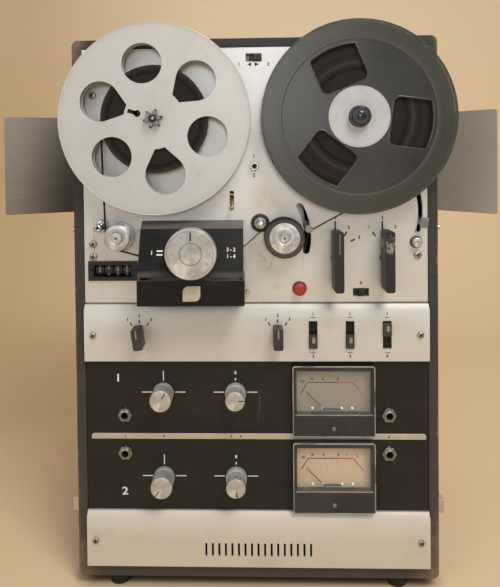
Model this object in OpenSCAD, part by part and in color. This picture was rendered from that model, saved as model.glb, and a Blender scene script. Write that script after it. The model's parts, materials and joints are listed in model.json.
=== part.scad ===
// Portable stereo reel-to-reel tape recorder, standing upright.
// X runs to the viewer's right, Y runs from the front panels to the back, Z runs up from the floor.
// The sizes below place each piece from the middle of the cabinet, the deck's face and the floor.
// The module seated() then moves each piece into the part's own frame, whose origin lies on the
// floor at the middle of the whole object, with its levers and its open reflectors.

/* [Cabinet] */
// Width of the cabinet
case_w = 346; // [340:1:380]
// Height of the cabinet without its feet
case_h = 517; // [512:1:540]
// Depth of the cabinet from the front rim to the back
case_d = 235; // [220:1:280]
// Thickness of the side walls
side_wall = 9.4; // [8:0.2:11]
// Thickness of the top wall
top_wall = 8.5; // [7:0.5:10]
// Thickness of the bottom wall
bottom_wall = 13; // [8:0.5:14]
// Radius of the cabinet's outer corners
case_corner = 6; // [2:0.5:7]
// How far the front rim stands before the deck's face
rim_proud = 1; // [0.5:0.5:3]
// Width and depth of the inner cleats that hold the chassis and the back
cleat = 12; // [8:1:14]
// How far the back cover lies inside the rear edge
back_inset = 6; // [4:1:10]
// Thickness of the back cover
back_t = 4; // [3:0.5:6]
// Height of the rubber feet
foot_h = 9.8; // [6:0.2:14]
// Radius of the rubber feet
foot_r = 9.5; // [7:0.5:12]
// Distance of the feet from the middle of the cabinet
foot_x = 135; // [120:1:150]
// Distance of the feet from the front rim and the rear edge
foot_inset = 11.5; // [11:0.5:30]

/* [Panels] */
// Height of the lower panel with the slotted grille
lower_h = 52; // [50:1:60]
// Height of the black amplifier panel
amp_h = 145; // [142:0.5:148]
// Height of the switch panel
control_h = 53.5; // [52:0.5:60]
// Gap between neighbouring panels and round them
panel_gap = 0.3; // [0.2:0.1:0.5]
// Gap between the switch panel and the deck
deck_seam = 1.5; // [1:0.5:3]
// Thickness of the deck and the amplifier panel
panel_t = 3; // [2.5:0.5:4]
// How far the switch panel and the lower panel stand before the deck
pan_proud = 6; // [5:0.5:8]
// Sheet thickness of these two panels
pan_sheet = 2; // [1.5:0.5:2.5]
// Height of the bevel along their top edges
pan_bevel = 5; // [4:0.5:6]
// Depth of this bevel
pan_bevel_d = 4; // [3:0.5:5]
// Thickness of the chassis plate
chassis_t = 2; // [1.5:0.5:3]
// Number of grille slots
grille_count = 17; // [9:2:21]
// Height of the slots' middle above the lower panel's lower edge
grille_up = 16.7; // [14:0.1:26]
// Pitch of the grille slots
grille_pitch = 6.23; // [5:0.1:7]
// Width of a grille slot
grille_slot_w = 2; // [1.5:0.5:3]
// Height of a grille slot
grille_slot_h = 12.7; // [8:0.5:20]
// Height of the label strip across the amplifier panel
strip_h = 5.5; // [4:0.5:6]
// Distance of the label strip's middle below the middle of the amplifier panel
strip_drop = 1; // [0:0.5:3]
// Space between the label strip's ends and the panel's
strip_in = 3.55; // [2:0.05:10]
// Thickness of the label strip
strip_t = 1.2; // [1:0.1:2]
// Radius of a panel screw's head
screw_head_r = 3.7; // [3:0.1:4]
// Radius of the heads on the switch panel and the lower panel
panel_head_r = 3; // [2.6:0.1:3.6]
// Height of a panel screw's head
screw_head_h = 1.6; // [1.2:0.2:2.4]
// Radius of a panel screw's shank
screw_r = 1.8; // [1.4:0.1:2]

/* [Reels] */
// Distance of the supply reel's axis left of the middle
supply_x = 91.9; // [91.6:0.1:94]
// Distance of the take-up reel's axis right of the middle
takeup_x = 96.2; // [94:0.1:98]
// Height of both reel axes above the deck's lower edge
reel_up = 174.3; // [170.3:0.5:176.3]
// Outer radius of the reels
reel_r = 89; // [84:0.5:90]
// Width of the winding space between the flanges
reel_space = 8.4; // [7.5:0.1:9]
// Flange thickness of the metal reel
metal_flange_t = 1.2; // [0.8:0.1:1.6]
// Flange thickness of the plastic reel
plastic_flange_t = 1.6; // [1.2:0.1:1.9]
// Hub radius of the metal reel
metal_hub_r = 28; // [26:0.5:32]
// Hub radius of the plastic reel
plastic_hub_r = 29.5; // [29:0.5:34]
// Radius of the tape pack on the supply reel
supply_pack_r = 50; // [40:0.5:60]
// Radius of the tape pack on the take-up reel
takeup_pack_r = 70; // [60:0.5:76]
// Radius of the round windows in the metal reel
window_r = 18.5; // [12:0.5:20]
// Distance of the windows from the axis of the metal reel
window_at = 52.3; // [50:0.5:56]
// Distance of the drop-shaped windows' tips from the axis
drop_tip_at = 21.5; // [18:0.5:28]
// Half the width of the windows in the plastic reel
wide_window_half = 22; // [14:0.5:26]
// Inner end of the windows in the plastic reel
wide_window_from = 29.5; // [29:0.5:40]
// Outer end of the windows in the plastic reel
wide_window_to = 66.5; // [60:0.5:80]
// Radius of the reel spindles
spindle_r = 4; // [3.5:0.1:4.5]
// Radius of the turntables under the reels
turntable_r = 32; // [28:1:40]
// Thickness of the turntable discs
turntable_t = 5; // [3:0.5:6]
// How far the turntables' faces stand before the deck
turntable_front = 10; // [9.5:0.1:10.5]
// Radius of the round cap on the take-up spindle
cap_r = 9.5; // [7:0.5:12]
// Radius over the lobes of the supply spindle's lock
lock_r = 7.5; // [6:0.5:9]

/* [Tape path] */
// Width of the tape
tape_w = 6.3; // [6:0.1:6.4]
// Thickness of the tape
tape_t = 0.3; // [0.25:0.05:0.35]
// Distance of the tape's middle before the deck
tape_front = 15.5; // [15.3:0.1:15.8]
// Height of the straight run under the heads above the deck's lower edge
head_line_up = 44.3; // [43.3:0.5:46.3]
// Distance of the guide roller's axis from the deck's left edge
guide_in = 35.9; // [33:0.1:38]
// Height of the guide roller's axis above the deck's lower edge
guide_up = 64.7; // [62.3:0.5:68.3]
// Radius of the guide roller's barrel
guide_r = 11; // [9:0.5:12]
// Radius of the guide roller's flanges
guide_flange_r = 13.5; // [12.5:0.5:14]
// Radius of the fixed tape guides in the head cover
post_r = 3; // [2.5:0.1:3.5]
// Distance of the capstan's axis right of the middle
capstan_x = 5.6; // [5:0.1:6.5]
// Height of the capstan's axis above the deck's lower edge
capstan_up = 75.7; // [75.3:0.1:77.3]
// Radius of the capstan
capstan_r = 3.2; // [2.8:0.1:3.4]
// How far the capstan stands before the deck
capstan_front = 20; // [19:0.5:22]
// Radius of the flywheel behind the deck
flywheel_r = 45; // [35:1:45]
// Thickness of the flywheel
flywheel_t = 14; // [10:1:16]
// Distance of the pinch roller's axis right of the middle
pinch_x = 27.7; // [27.4:0.1:28.4]
// Height of the pinch roller's axis above the deck's lower edge
pinch_up = 63; // [62.3:0.1:63.3]
// Radius of the pinch roller
pinch_r = 18.85; // [18.2:0.05:19]
// Thickness of the pinch roller
pinch_w = 14; // [10:0.5:15]
// Length of the pinch arm from its pivot to the roller
pinch_arm_l = 40; // [38:1:42]
// Radius of the roller pin on the pinch arm
pinch_pin_r = 3; // [2.5:0.1:3.5]
// Radius at which the tension arm's pin swings
tension_r = 60.3; // [60:0.1:61]
// Distance of the tension arm's pivot left of the middle
tension_x = 9.8; // [9.4:0.1:10.2]
// Height of the tension arm's pivot above the deck's lower edge
tension_up = 62.3; // [61.8:0.1:62.8]
// Angle of the tension pin above the level at rest
tension_rest = 9.3; // [9:0.1:10]
// Radius of the tension pin
tension_pin_r = 2.3; // [2:0.1:2.4]
// Upper end of the tension slot
tension_slot_up = 28.5; // [28:0.5:30]
// Lower end of the tension slot below the level
tension_slot_down = 12.9; // [12.5:0.1:14]

/* [Head covers] */
// Space between the deck's left edge and the head cover
head_in = 58.8; // [57:0.1:60]
// Right edge of the head covers, left of the middle
head_x1 = 10.6; // [10.4:0.1:11.5]
// Height of the upper cover's top edge at the deck above the deck's lower edge
head_top_up = 78.6; // [77.3:0.1:80.3]
// Drop of the upper cover's top towards the front
head_top_drop = 5; // [3:0.5:8]
// Height of the upper cover's lower edge above the deck's lower edge
head_bottom_up = 32.5; // [32.3:0.1:34.3]
// Depth of the upper cover at its top edge
head_depth_top = 25; // [24:0.5:28]
// Depth of both covers at the bottom
head_depth = 45; // [40:0.5:48]
// Wall thickness of the covers
head_wall = 2; // [1.5:0.1:2.5]
// Height of the lower cover
cross_h = 23; // [18:0.5:26]
// Gap between the two covers
cross_gap = 2.4; // [1.5:0.1:3]
// Radius of the large track knob
track_r = 22.5; // [18:0.5:24]
// Thickness of the track knob
track_t = 10; // [6:0.5:12]
// Distance of the track knob left of the middle
track_x = 55.7; // [52:0.5:60]
// Height of the track knob's axis above the deck's lower edge
track_up = 55.3; // [53.3:0.5:56.3]
// How far the track knob's face stands before the deck
track_front = 57; // [56:0.5:62]

/* [Levers] */
// Distance of the function lever right of the middle
function_x = 76.5; // [72:0.5:78]
// Distance of the wind lever right of the middle
wind_x = 122.5; // [118:0.5:124]
// Height of both levers' axes above the deck's lower edge
lever_up = 41.8; // [40:0.1:46.3]
// Length of the lever bars
lever_l = 56; // [44:1:58]
// Width of the lever bars
lever_w = 8.8; // [6:0.2:10]
// How far the lever bars stand before the deck
lever_front = 26; // [20:1:40]
// Pause lever's pivot, from the deck's right edge
pause_in = 82.6; // [82:0.1:84]
// Height of the pause lever's pivot above the deck's lower edge
pause_up = 85.3; // [84.3:0.5:86.3]
// Radius at which the pause lever passes the deck
pause_r = 76; // [75:0.5:77]
// Angle of the pause lever below the level at rest
pause_rest = 7.1; // [7:0.1:8]
// Angle that the pause lever can swing up
pause_swing = 22; // [15:1:24]
// Distance of the small brass lever left of the middle
toggle_x = 21.2; // [20:0.2:24]
// Height of the small brass lever's pivot above the deck's lower edge
toggle_up = 102.3; // [98.3:0.5:104.3]
// Length of the small brass lever
toggle_l = 21; // [16:0.5:22]
// Angle of the small brass lever below the level at rest
toggle_rest = 38; // [30:1:42]

/* [Switches and buttons] */
// Distance of the vertical slots from each other
slot_pitch = 34.7; // [30:0.1:36]
// Distance of the slots' middle below the switch panel's middle
slot_drop = 1.75; // [0:0.25:2]
// Distance of the first vertical slot right of the middle
slot_x = 54.3; // [50:0.5:58]
// Width of the vertical slots
slot_w = 7.8; // [6:0.2:9]
// Height of the vertical slots
slot_h = 25.8; // [24:0.2:30]
// Height of a slide's thumb piece
thumb_h = 12; // [10:0.5:14]
// Travel of the vertical slides
slide_travel = 11; // [8:0.5:12]
// Width of the openings of the two small slides on the deck
small_slot_w = 13.8; // [12:0.2:16]
// Height of the openings of the two small slides on the deck
small_slot_h = 6.4; // [5:0.2:8]
// Width of the speed slide's thumb piece
speed_thumb_w = 6.4; // [5:0.2:7]
// Width of the automatic stop slide's thumb piece
autostop_thumb_w = 4.8; // [4:0.2:6]
// Distance of the first bar knob left of the middle
source_x = 110.2; // [106:0.5:114]
// Distance of the second bar knob right of the middle
mode_x = 21; // [18:0.5:24]
// Length of the bar knobs
bar_knob_l = 20; // [16:0.5:22]
// Width of the bar knobs
bar_knob_w = 9; // [6:0.2:10]
// How far the bar knobs stand before the switch panel
bar_knob_front = 16; // [10:0.5:20]
// Radius of the start button
start_r = 4.5; // [3.5:0.1:5]
// Radius of the record button
record_r = 5.6; // [4:0.1:6]
// Travel of the two buttons
button_travel = 3; // [2:0.5:4]

/* [Amplifier] */
// Radius of the volume knobs
knob_r = 10; // [8:0.5:11]
// Length of the volume knobs
knob_l = 23; // [14:0.5:26]
// Length of the rear rings of the dual knobs
ring_l = 7.5; // [5:0.5:9]
// Distance of the microphone knobs left of the middle
mic_x = 88.8; // [84:0.5:92]
// Distance of the line knobs left of the middle
line_x = 19.6; // [18:0.5:24]
// Distance of the upper knobs above the strip's middle
knob_up = 42.1; // [40:0.1:44]
// Distance of the lower knobs below the strip's middle
knob_down = 39.1; // [36:0.1:42]
// Distance of the phone jacks from the middle
jack_x = 126; // [124:0.5:132]
// Distance of the upper phone jacks above the strip's middle
jack_up = 20.6; // [16:0.1:24]
// Distance of the lower phone jacks below the strip's middle
jack_down = 16.2; // [14:0.1:22]
// Radius of the phone jacks' bores
jack_r = 3.2; // [3.15:0.05:3.3]
// Width of a level meter
meter_w = 77; // [70:0.5:78]
// Panel left bare beyond each meter, upward or downward
meter_edge = 2.65; // [1:0.05:4]
// How far a level meter stands before its panel
meter_front = 9; // [8:0.5:12]
// Distance of the level meters right of the middle
meter_x = 73; // [72:0.5:75]
// Radius of a level meter's barrel behind the panel
barrel_r = 29; // [25:0.5:31]
// Length of a level meter's barrel
barrel_l = 33; // [25:1:34]
// Length of a needle from its pivot to its tip
needle_l = 36; // [32:0.5:40]

/* [Counter] */
// Space between the deck's left edge and the counter's frame
counter_in = 3.7; // [3:0.1:6]
// Height of the counter's frame
counter_h = 18.8; // [18:0.2:22]
// Space between the counter's frame and the head cover
counter_off = 7.9; // [6:0.1:12]
// Height of the counter's middle above the deck's lower edge
counter_up = 30.6; // [28.3:0.1:34.3]
// Number of figure drums
drum_count = 4; // [3:1:4]
// Width of the counter that its four figure drums leave
counter_side = 12.4; // [12:0.2:16]
// Radius of the figure drums
drum_r = 6.5; // [5:0.1:7]

/* [Speakers and reflectors] */
// Radius of the round openings in the side walls
speaker_r = 46; // [40:1:47]
// Distance of the speakers' axes behind the deck's face
speaker_y = 70; // [68:1:76]
// Height of the speakers' axes above the deck's lower edge
speaker_up = 131.3; // [124.3:1:139.3]
// Depth of a speaker
speaker_d = 40; // [30:1:42]
// Width of a reflector door from its hinge to its free edge
door_w = 104; // [90:0.5:106]
// Height of a reflector door
door_h = 106.5; // [100:0.5:120]
// Thickness of a reflector door
door_t = 2; // [1.5:0.1:2.5]
// Corner radius of a reflector door
door_corner = 2.5; // [1:0.5:20]
// Distance of the door hinges behind the deck's face
hinge_y = 120; // [118:1:126]
// Distance of the hinge pins from the side walls
hinge_out = 4; // [3.8:0.1:5]
// Radius of the hinge pins
hinge_pin_r = 2; // [1.5:0.1:2.2]
// Angle by which the left door stands open
door_open_left = 62; // [10:1:85]
// Angle by which the right door stands open
door_open_right = 42; // [10:1:85]

/* [Drive] */
// Radius of the motor
motor_r = 36; // [30:1:37]
// Length of the motor
motor_l = 70; // [50:1:90]
// Distance of the motor's axis left of the middle
motor_x = 70; // [66:1:72]
// Height of the motor's axis above the deck's lower edge
motor_up = 34.3; // [32.3:1:38.3]
// Radius of the motor's pulley
pulley_r = 7; // [5:0.5:10]
// Width of the drive belt
belt_w = 6; // [4:0.5:8]
// Thickness of the drive belt
belt_t = 1; // [0.8:0.1:1.4]

/* [Fits] */
// Clearance between a moving piece and its surroundings
clear = 0.3; // [0.25:0.05:0.35]
// Radial running clearance of a shaft in its bearing
run = 0.05; // [0.03:0.01:0.1]

/* [Hidden] */
$fn = 48;
eps = 1;

// Heights of the panels, stacked from the bottom of the cabinet
half_in = case_w / 2 - side_wall;
panel_half = half_in - panel_gap;
head_x0 = panel_half - head_in;
guide_x = panel_half - guide_in;
strip_len = 2 * (panel_half - strip_in);
inner_bottom = foot_h + bottom_wall;
inner_top = foot_h + case_h - top_wall;
lower_z = inner_bottom + panel_gap;
lower_top = lower_z + lower_h;
grille_z = lower_z + grille_up;
amp_z = lower_top + panel_gap;
amp_top = amp_z + amp_h;
control_z = amp_top + panel_gap;
control_top = control_z + control_h;
deck_z = control_top + deck_seam;
deck_top = inner_top - panel_gap;
strip_z = amp_z + amp_h / 2 - strip_drop;
slot_z = control_z + control_h / 2 - slot_drop;
upper_knob_z = strip_z + knob_up;
lower_knob_z = strip_z - knob_down;
meter_h = (amp_h - strip_h) / 2 - clear - meter_edge;
meter_dz = (strip_h + meter_h) / 2 + clear;
meter_zs = [strip_z + meter_dz, strip_z - meter_dz];

// Heights of what stands on the deck or behind it
reel_z = deck_z + reel_up;
head_line_z = deck_z + head_line_up;
guide_z = deck_z + guide_up;
capstan_z = deck_z + capstan_up;
pinch_z = deck_z + pinch_up;
tension_z = deck_z + tension_up;
head_top_z = deck_z + head_top_up;
head_bottom_z = deck_z + head_bottom_up;
track_z = deck_z + track_up;
lever_z = deck_z + lever_up;
pause_z = deck_z + pause_up;
toggle_z = deck_z + toggle_up;
counter_z = deck_z + counter_up;
speaker_z = deck_z + speaker_up;
motor_z = deck_z + motor_up;

// Depths, counted from the deck's face towards the back
back_y = case_d - rim_proud;
cover_y = back_y - back_inset - back_t;
chassis_back = panel_t + chassis_t;
pan_inner = pan_sheet - pan_proud;
board_y = panel_t + barrel_l + 4;
board_t = 1.6;
pot_l = 17;
pot_r = 11;
pot_neck = 5;
motor_face = 60;
fly_y = 30;
belt_y = fly_y + (flywheel_t - belt_w) / 2;

// Middle of the whole object seen from above
door_x = case_w / 2 + hinge_out;
tip_right = door_x + door_w * sin(door_open_right) + door_t / 2 * cos(door_open_right);
tip_left = door_x + door_w * sin(door_open_left) + door_t / 2 * cos(door_open_left);
origin_x = (tip_right - tip_left) / 2;
origin_y = (back_y - max(track_front, lever_front)) / 2;

// Places as [x, z] on the deck
supply_at = [-supply_x, reel_z];
takeup_at = [takeup_x, reel_z];
guide_at = [-guide_x, guide_z];
capstan_at = [capstan_x, capstan_z];
pinch_at = [pinch_x, pinch_z];
motor_at = [-motor_x, motor_z];
tension_at = [-tension_x, tension_z];
tension_pin_at = tension_at + tension_r * unit(tension_rest);
pause_x = panel_half - pause_in;
pause_at = [pause_x, pause_z];
to_capstan = angle_to(pinch_at, capstan_at);
pinch_pivot_at = pinch_at - pinch_arm_l * unit(to_capstan - 90);
pinch_gap = norm(capstan_at - pinch_at) - capstan_r - pinch_r;
pinch_close = (pinch_gap - tape_t - clear) / pinch_arm_l * 180 / PI;
post_z = head_line_z + tape_t / 2 + clear + post_r;
posts_at = [[7.5 - head_x0, post_z], [-head_x1 - 13.4, post_z]];
metal_front = turntable_front + 2 * metal_flange_t + reel_space;
plastic_front = turntable_front + 2 * plastic_flange_t + reel_space;
pivot_r = 3;
shaft_r = 3;
lever_shaft_r = 4;
ring_r = 4.4;

// Screws as [x, z, distance of the panel's face before the deck]
screw_x = panel_half - 8.6;
SCREWS = [
    [-screw_x, deck_z + 56.3, 0], [-screw_x, deck_z + 44.2, 0], [screw_x - 0.8, deck_z + 44.4, 0],
    [1 - screw_x, deck_top - 43.7, 0], [screw_x - 1, deck_top - 43.7, 0],
    [-screw_x, slot_z, pan_proud], [screw_x, slot_z, pan_proud],
    [-screw_x, grille_z + 8.5, pan_proud], [screw_x, grille_z + 8.5, pan_proud]];

function unit(a) = [cos(a), sin(a)];
function angle_to(p, q) = atan2(q[1] - p[1], q[0] - p[0]);

// The tape's way past circles given as [centre, signed radius]: a circle on the left of the
// travel counts plus, one on the right minus. The normals are those of the straight stretches.
tape_side = clear + tape_t / 2;
WAY = [
    [supply_at, supply_pack_r + tape_side], [guide_at, guide_r + tape_side],
    [posts_at[0], post_r + tape_side], [posts_at[1], post_r + tape_side],
    [pinch_at, -pinch_r - tape_side], [tension_pin_at, tension_pin_r + tape_side],
    [takeup_at, takeup_pack_r + tape_side]];
legs = len(WAY) - 1;
normals = [for (i = [0 : legs - 1])
    angle_to(WAY[i][0], WAY[i + 1][0])
        - acos((WAY[i][1] - WAY[i + 1][1]) / norm(WAY[i + 1][0] - WAY[i][0]))];
arc_steps = 10;
function way_point(i, a, off) = WAY[i][0] + (WAY[i][1] + off) * unit(a);
function way_side(off) = concat(
    [way_point(0, normals[0], off)],
    [for (i = [1 : legs - 1]) for (k = [0 : arc_steps])
        way_point(i, normals[i - 1] + (normals[i] - normals[i - 1]) * k / arc_steps, off)],
    [way_point(legs, normals[legs - 1], off)]);
function reversed(list) = [for (i = [len(list) - 1 : -1 : 0]) list[i]];

// Moves a piece from the deck's coordinates into the part's frame
module seated() translate([-origin_x, -origin_y, 0]) children();

// Round bar along Y, centred on p = [x, z]
module rod(p, y0, y1, r) translate([p[0], y1, p[1]]) rotate([90, 0, 0]) cylinder(r = r, h = y1 - y0);

// Round tube along Y
module tube(p, y0, y1, r, bore) difference() {
    rod(p, y0, y1, r);
    rod(p, y0 - eps, y1 + eps, bore);
}

// Round bar along X, centred on y and z
module bar_x(x0, x1, y, z, r) translate([x0, y, z]) rotate([0, 90, 0]) cylinder(r = r, h = x1 - x0);

// Box between two corners
module slab(x0, x1, y0, y1, z0, z1) translate([x0, y0, z0]) cube([x1 - x0, y1 - y0, z1 - z0]);

// Outline in x and z, as a plate from y0 to y1
module sheet(y0, y1) translate([0, y1, 0]) rotate([90, 0, 0]) linear_extrude(y1 - y0) children();

// Outline in y and z, drawn out from x0 to x1
module along_x(x0, x1) translate([x0, 0, 0]) rotate([90, 0, 90]) linear_extrude(x1 - x0) children();

// Rectangle with round corners, from its lower left corner
module round_rect(w, h, r) {
    translate([r, 0]) square([w - 2 * r, h]);
    translate([0, r]) square([w, h - 2 * r]);
    for (x = [r, w - r], z = [r, h - r]) translate([x, z]) circle(r);
}

// Points on an arc round p, in even steps from angle a0 to a1
function arc_points(p, r, a0, a1, steps) = [for (k = [0 : steps]) p + r * unit(a0 + (a1 - a0) * k / steps)];

// Curved slot of width w on a circle round p, from angle a0 to a1, with round ends
end_step = 22.5;
module arc_slot(p, r, a0, a1, w) polygon(concat(
    arc_points(p, r + w / 2, a0, a1, 12),
    arc_points(p + r * unit(a1), w / 2, a1 + end_step, a1 + 180 - end_step, 6),
    arc_points(p, r - w / 2, a1, a0, 12),
    arc_points(p + r * unit(a0), w / 2, a0 + 180 + end_step, a0 + 360 - end_step, 6)));

// Flat arm of half width w between two round ends
module arm(p, q, y0, y1, w) sheet(y0, y1) polygon(concat(
    arc_points(p, w, angle_to(p, q) + 90, angle_to(p, q) + 270, 10),
    arc_points(q, w, angle_to(p, q) - 90, angle_to(p, q) + 90, 10)));

// Outline of the opening that a slide's thumb moves in
module opening(x, z, w, h) translate([x - w / 2, z - h / 2]) square([w, h]);

// Cleats as [front, lower end, upper end]; the front pair leaves room for the pause lever
CLEATS = [
    [chassis_back, inner_bottom, deck_z], [chassis_back, reel_z - 40, inner_top],
    [cover_y - cleat, inner_bottom, inner_top]];

// Cabinet of covered boards: four walls, cleats for the chassis and the back, speaker openings
module case_shell() seated() color("dimgray") {
    difference() {
        sheet(-rim_proud, back_y) translate([-case_w / 2, foot_h]) round_rect(case_w, case_h, case_corner);
        slab(-half_in, half_in, -rim_proud - eps, back_y + eps, inner_bottom, inner_top);
        bar_x(-case_w, case_w, speaker_y, speaker_z, speaker_r);
    }
    for (s = [-1, 1], c = CLEATS)
        slab(s > 0 ? half_in - cleat : -half_in, s > 0 ? half_in : cleat - half_in,
            c[0], c[0] + cleat, c[1], c[2]);
}

// Back board with air slots, the mains inlet and four sockets
vent_w = 5;
vent_h = 46;
vent_pitch = 14;
inlet_w = 30;
inlet_h = 24;
inlet_x = 90;
inlet_z = inner_bottom + 41.2;
inlet_d = 18;
inlet_wall = 3;
cup_floor = 4;
socket_d = 12;
socket_lip = 2;
socket_out_r = jack_r + 2;
function socket_at(i) = [i * 20 - inlet_x - 20, inlet_z];
module back_cover() seated() color("saddlebrown") {
    difference() {
        slab(-panel_half, panel_half, cover_y, cover_y + back_t, lower_z, deck_top);
        for (i = [-7 : 7], z = [speaker_z, strip_z])
            slab(i * vent_pitch - vent_w / 2, i * vent_pitch + vent_w / 2,
                cover_y - eps, cover_y + back_t + eps, z, z + vent_h);
        sheet(cover_y - eps, cover_y + back_t + eps)
            opening(inlet_x, inlet_z, inlet_w + 2 * clear, inlet_h + 2 * clear);
        for (i = [0 : 3])
            rod(socket_at(i), cover_y - eps, cover_y + back_t + eps, socket_out_r + clear);
    }
    difference() {
        sheet(cover_y - inlet_d, cover_y + back_t) opening(inlet_x, inlet_z, inlet_w, inlet_h);
        sheet(cover_y - inlet_d + cup_floor, cover_y + back_t + eps)
            opening(inlet_x, inlet_z, inlet_w - 2 * inlet_wall, inlet_h - 2 * inlet_wall);
    }
    for (i = [0 : 3]) difference() {
        rod(socket_at(i), cover_y - socket_d, cover_y + back_t + socket_lip, socket_out_r);
        rod(socket_at(i), cover_y - socket_d + cup_floor, cover_y + back_t + socket_lip + eps, jack_r);
    }
}

// Rubber feet under the bottom wall
module feet() seated() color("black")
    for (x = [-foot_x, foot_x], y = [foot_inset - rim_proud, back_y - foot_inset])
        translate([x, y, 0]) cylinder(r = foot_r, h = foot_h);

// Hinge brackets with their pins, and the catches and pegs that held a lid
door_z = speaker_z - door_h / 2;
bracket_h = 12;
knuckle_r = hinge_out - clear;
knuckle_l = door_h - 2 * bracket_h - 2 * clear;
leaf_w = 14;
leaf_t = 1.5;
catch_d = 6;
catch_y = 4;
catch_w = 16;
catch_h = 12.6;
catch_z = lower_z + 48;
peg_r = 2.6;
peg_l = 3.5;
peg_y = catch_y + peg_r;
peg_z = deck_z + 70;
// Block on the outside of the side wall s, standing out by d
module wall_block(s, d, y0, y1, z0, z1)
    slab(s > 0 ? case_w / 2 : -case_w / 2 - d, s > 0 ? case_w / 2 + d : -case_w / 2, y0, y1, z0, z1);
module side_fittings() seated() color("silver") for (s = [-1, 1]) {
    translate([s * door_x, hinge_y, door_z]) cylinder(r = hinge_pin_r, h = door_h);
    for (z = [door_z, door_z + door_h - bracket_h]) {
        translate([s * door_x, hinge_y, z]) cylinder(r = knuckle_r, h = bracket_h);
        wall_block(s, hinge_out, hinge_y - knuckle_r, hinge_y + knuckle_r, z, z + bracket_h);
        wall_block(s, leaf_t, hinge_y, hinge_y + leaf_w, z, z + bracket_h);
    }
    wall_block(s, catch_d, catch_y, catch_y + catch_w, catch_z, catch_z + catch_h);
    translate([s * case_w / 2, peg_y, peg_z]) rotate([0, s * 90, 0])
        cylinder(r = peg_r, h = peg_l);
}

// Openings in the deck that the chassis shares, each wider by grow
counter_w = panel_half - head_x0 - counter_in - counter_off;
counter_x = panel_half - counter_in - counter_w / 2;
drum_pitch = (counter_w - counter_side) / drum_count;
counter_at = [-counter_x, counter_z];
counter_body_w = drum_count * drum_pitch + 6;
counter_body_h = 2 * drum_r + 4;
speed_at = [0.8, deck_top - 9.6];
autostop_at = [100.5, deck_z + 9.1];
start_at = [panel_half - 10.8, deck_z + 56.6];
record_at = [42.4, deck_z + 12.9];
toggle_slot_w = 4;
toggle_slot_up = 4;
toggle_slot_low = 9;
pause_t = 3.4;
tension_slot_w = 6.4;
pause_slot_w = 4.2;
pause_half = 1.9;
chassis_grow = 0.2;
module counter_opening(grow)
    translate(counter_at) square([counter_body_w + 2 * grow, counter_body_h + 2 * grow], center = true);
module deck_openings(grow) {
    arc_slot(tension_at, tension_r, -tension_slot_down, tension_slot_up,
        tension_slot_w + 2 * grow);
    arc_slot(pause_at, pause_r, -pause_rest - pause_half - 4, pause_swing - pause_rest + pause_half + 2,
        pause_slot_w + 2 * grow);
    arc_slot(pinch_pivot_at, pinch_arm_l, to_capstan - 90, to_capstan - 90 + pinch_close,
        2 * (pinch_pin_r + clear + grow));
    for (p = [speed_at, autostop_at]) opening(p[0], p[1], small_slot_w + 2 * grow, small_slot_h + 2 * grow);
    translate([-toggle_x - toggle_slot_w / 2, toggle_z - toggle_slot_low])
        square([toggle_slot_w, toggle_slot_low + toggle_slot_up]);
    translate(start_at) circle(start_r + clear);
    translate(record_at) circle(record_r + clear);
}

// Chassis plate behind the panels, with bearings, pivots, brackets and posts
bearing_r = 9;
bearing_front = 1;
bearing_back = 40;
capstan_tube_r = 8;
capstan_bush_r = 8.6;
lever_bearing_r = 7;
window_half = jack_x + 12;
window_edge = amp_h / 2 - strip_drop - meter_dz - barrel_r - clear;
grille_half = 60;
module chassis_window(half, z, h)
    translate([-half, z + window_edge]) square([2 * half, h - 2 * window_edge]);
arm_t = 3;
pinch_arm_y = chassis_back + arm_t;
tension_arm_y = 14;
pivots = [[pinch_pivot_at, pinch_arm_y], [tension_at, tension_arm_y], [pause_at, pinch_arm_y]];
thrust_r = flywheel_r + 9;
thrust_y = fly_y + flywheel_t + 5;
thrust_ends = [capstan_at + thrust_r * unit(120), capstan_at - thrust_r * unit(120)];
motor_post_r = motor_r + 8;
board_posts = [for (x = [-1, 1], z = [amp_z + 4.5, amp_top - 4.5]) [x * (half_in - cleat - 6), z]];
slide_cover_l = 30;
slide_cover_h = 14;
slide_base_l = 16;
toggle_y = chassis_back + 3;
toggle_pin_r = 1.5;
ear_at = 4;
ear_t = 3;
ear_r = 4;
slide_base_h = 9;
slide_base_t = 1.5;
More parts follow.
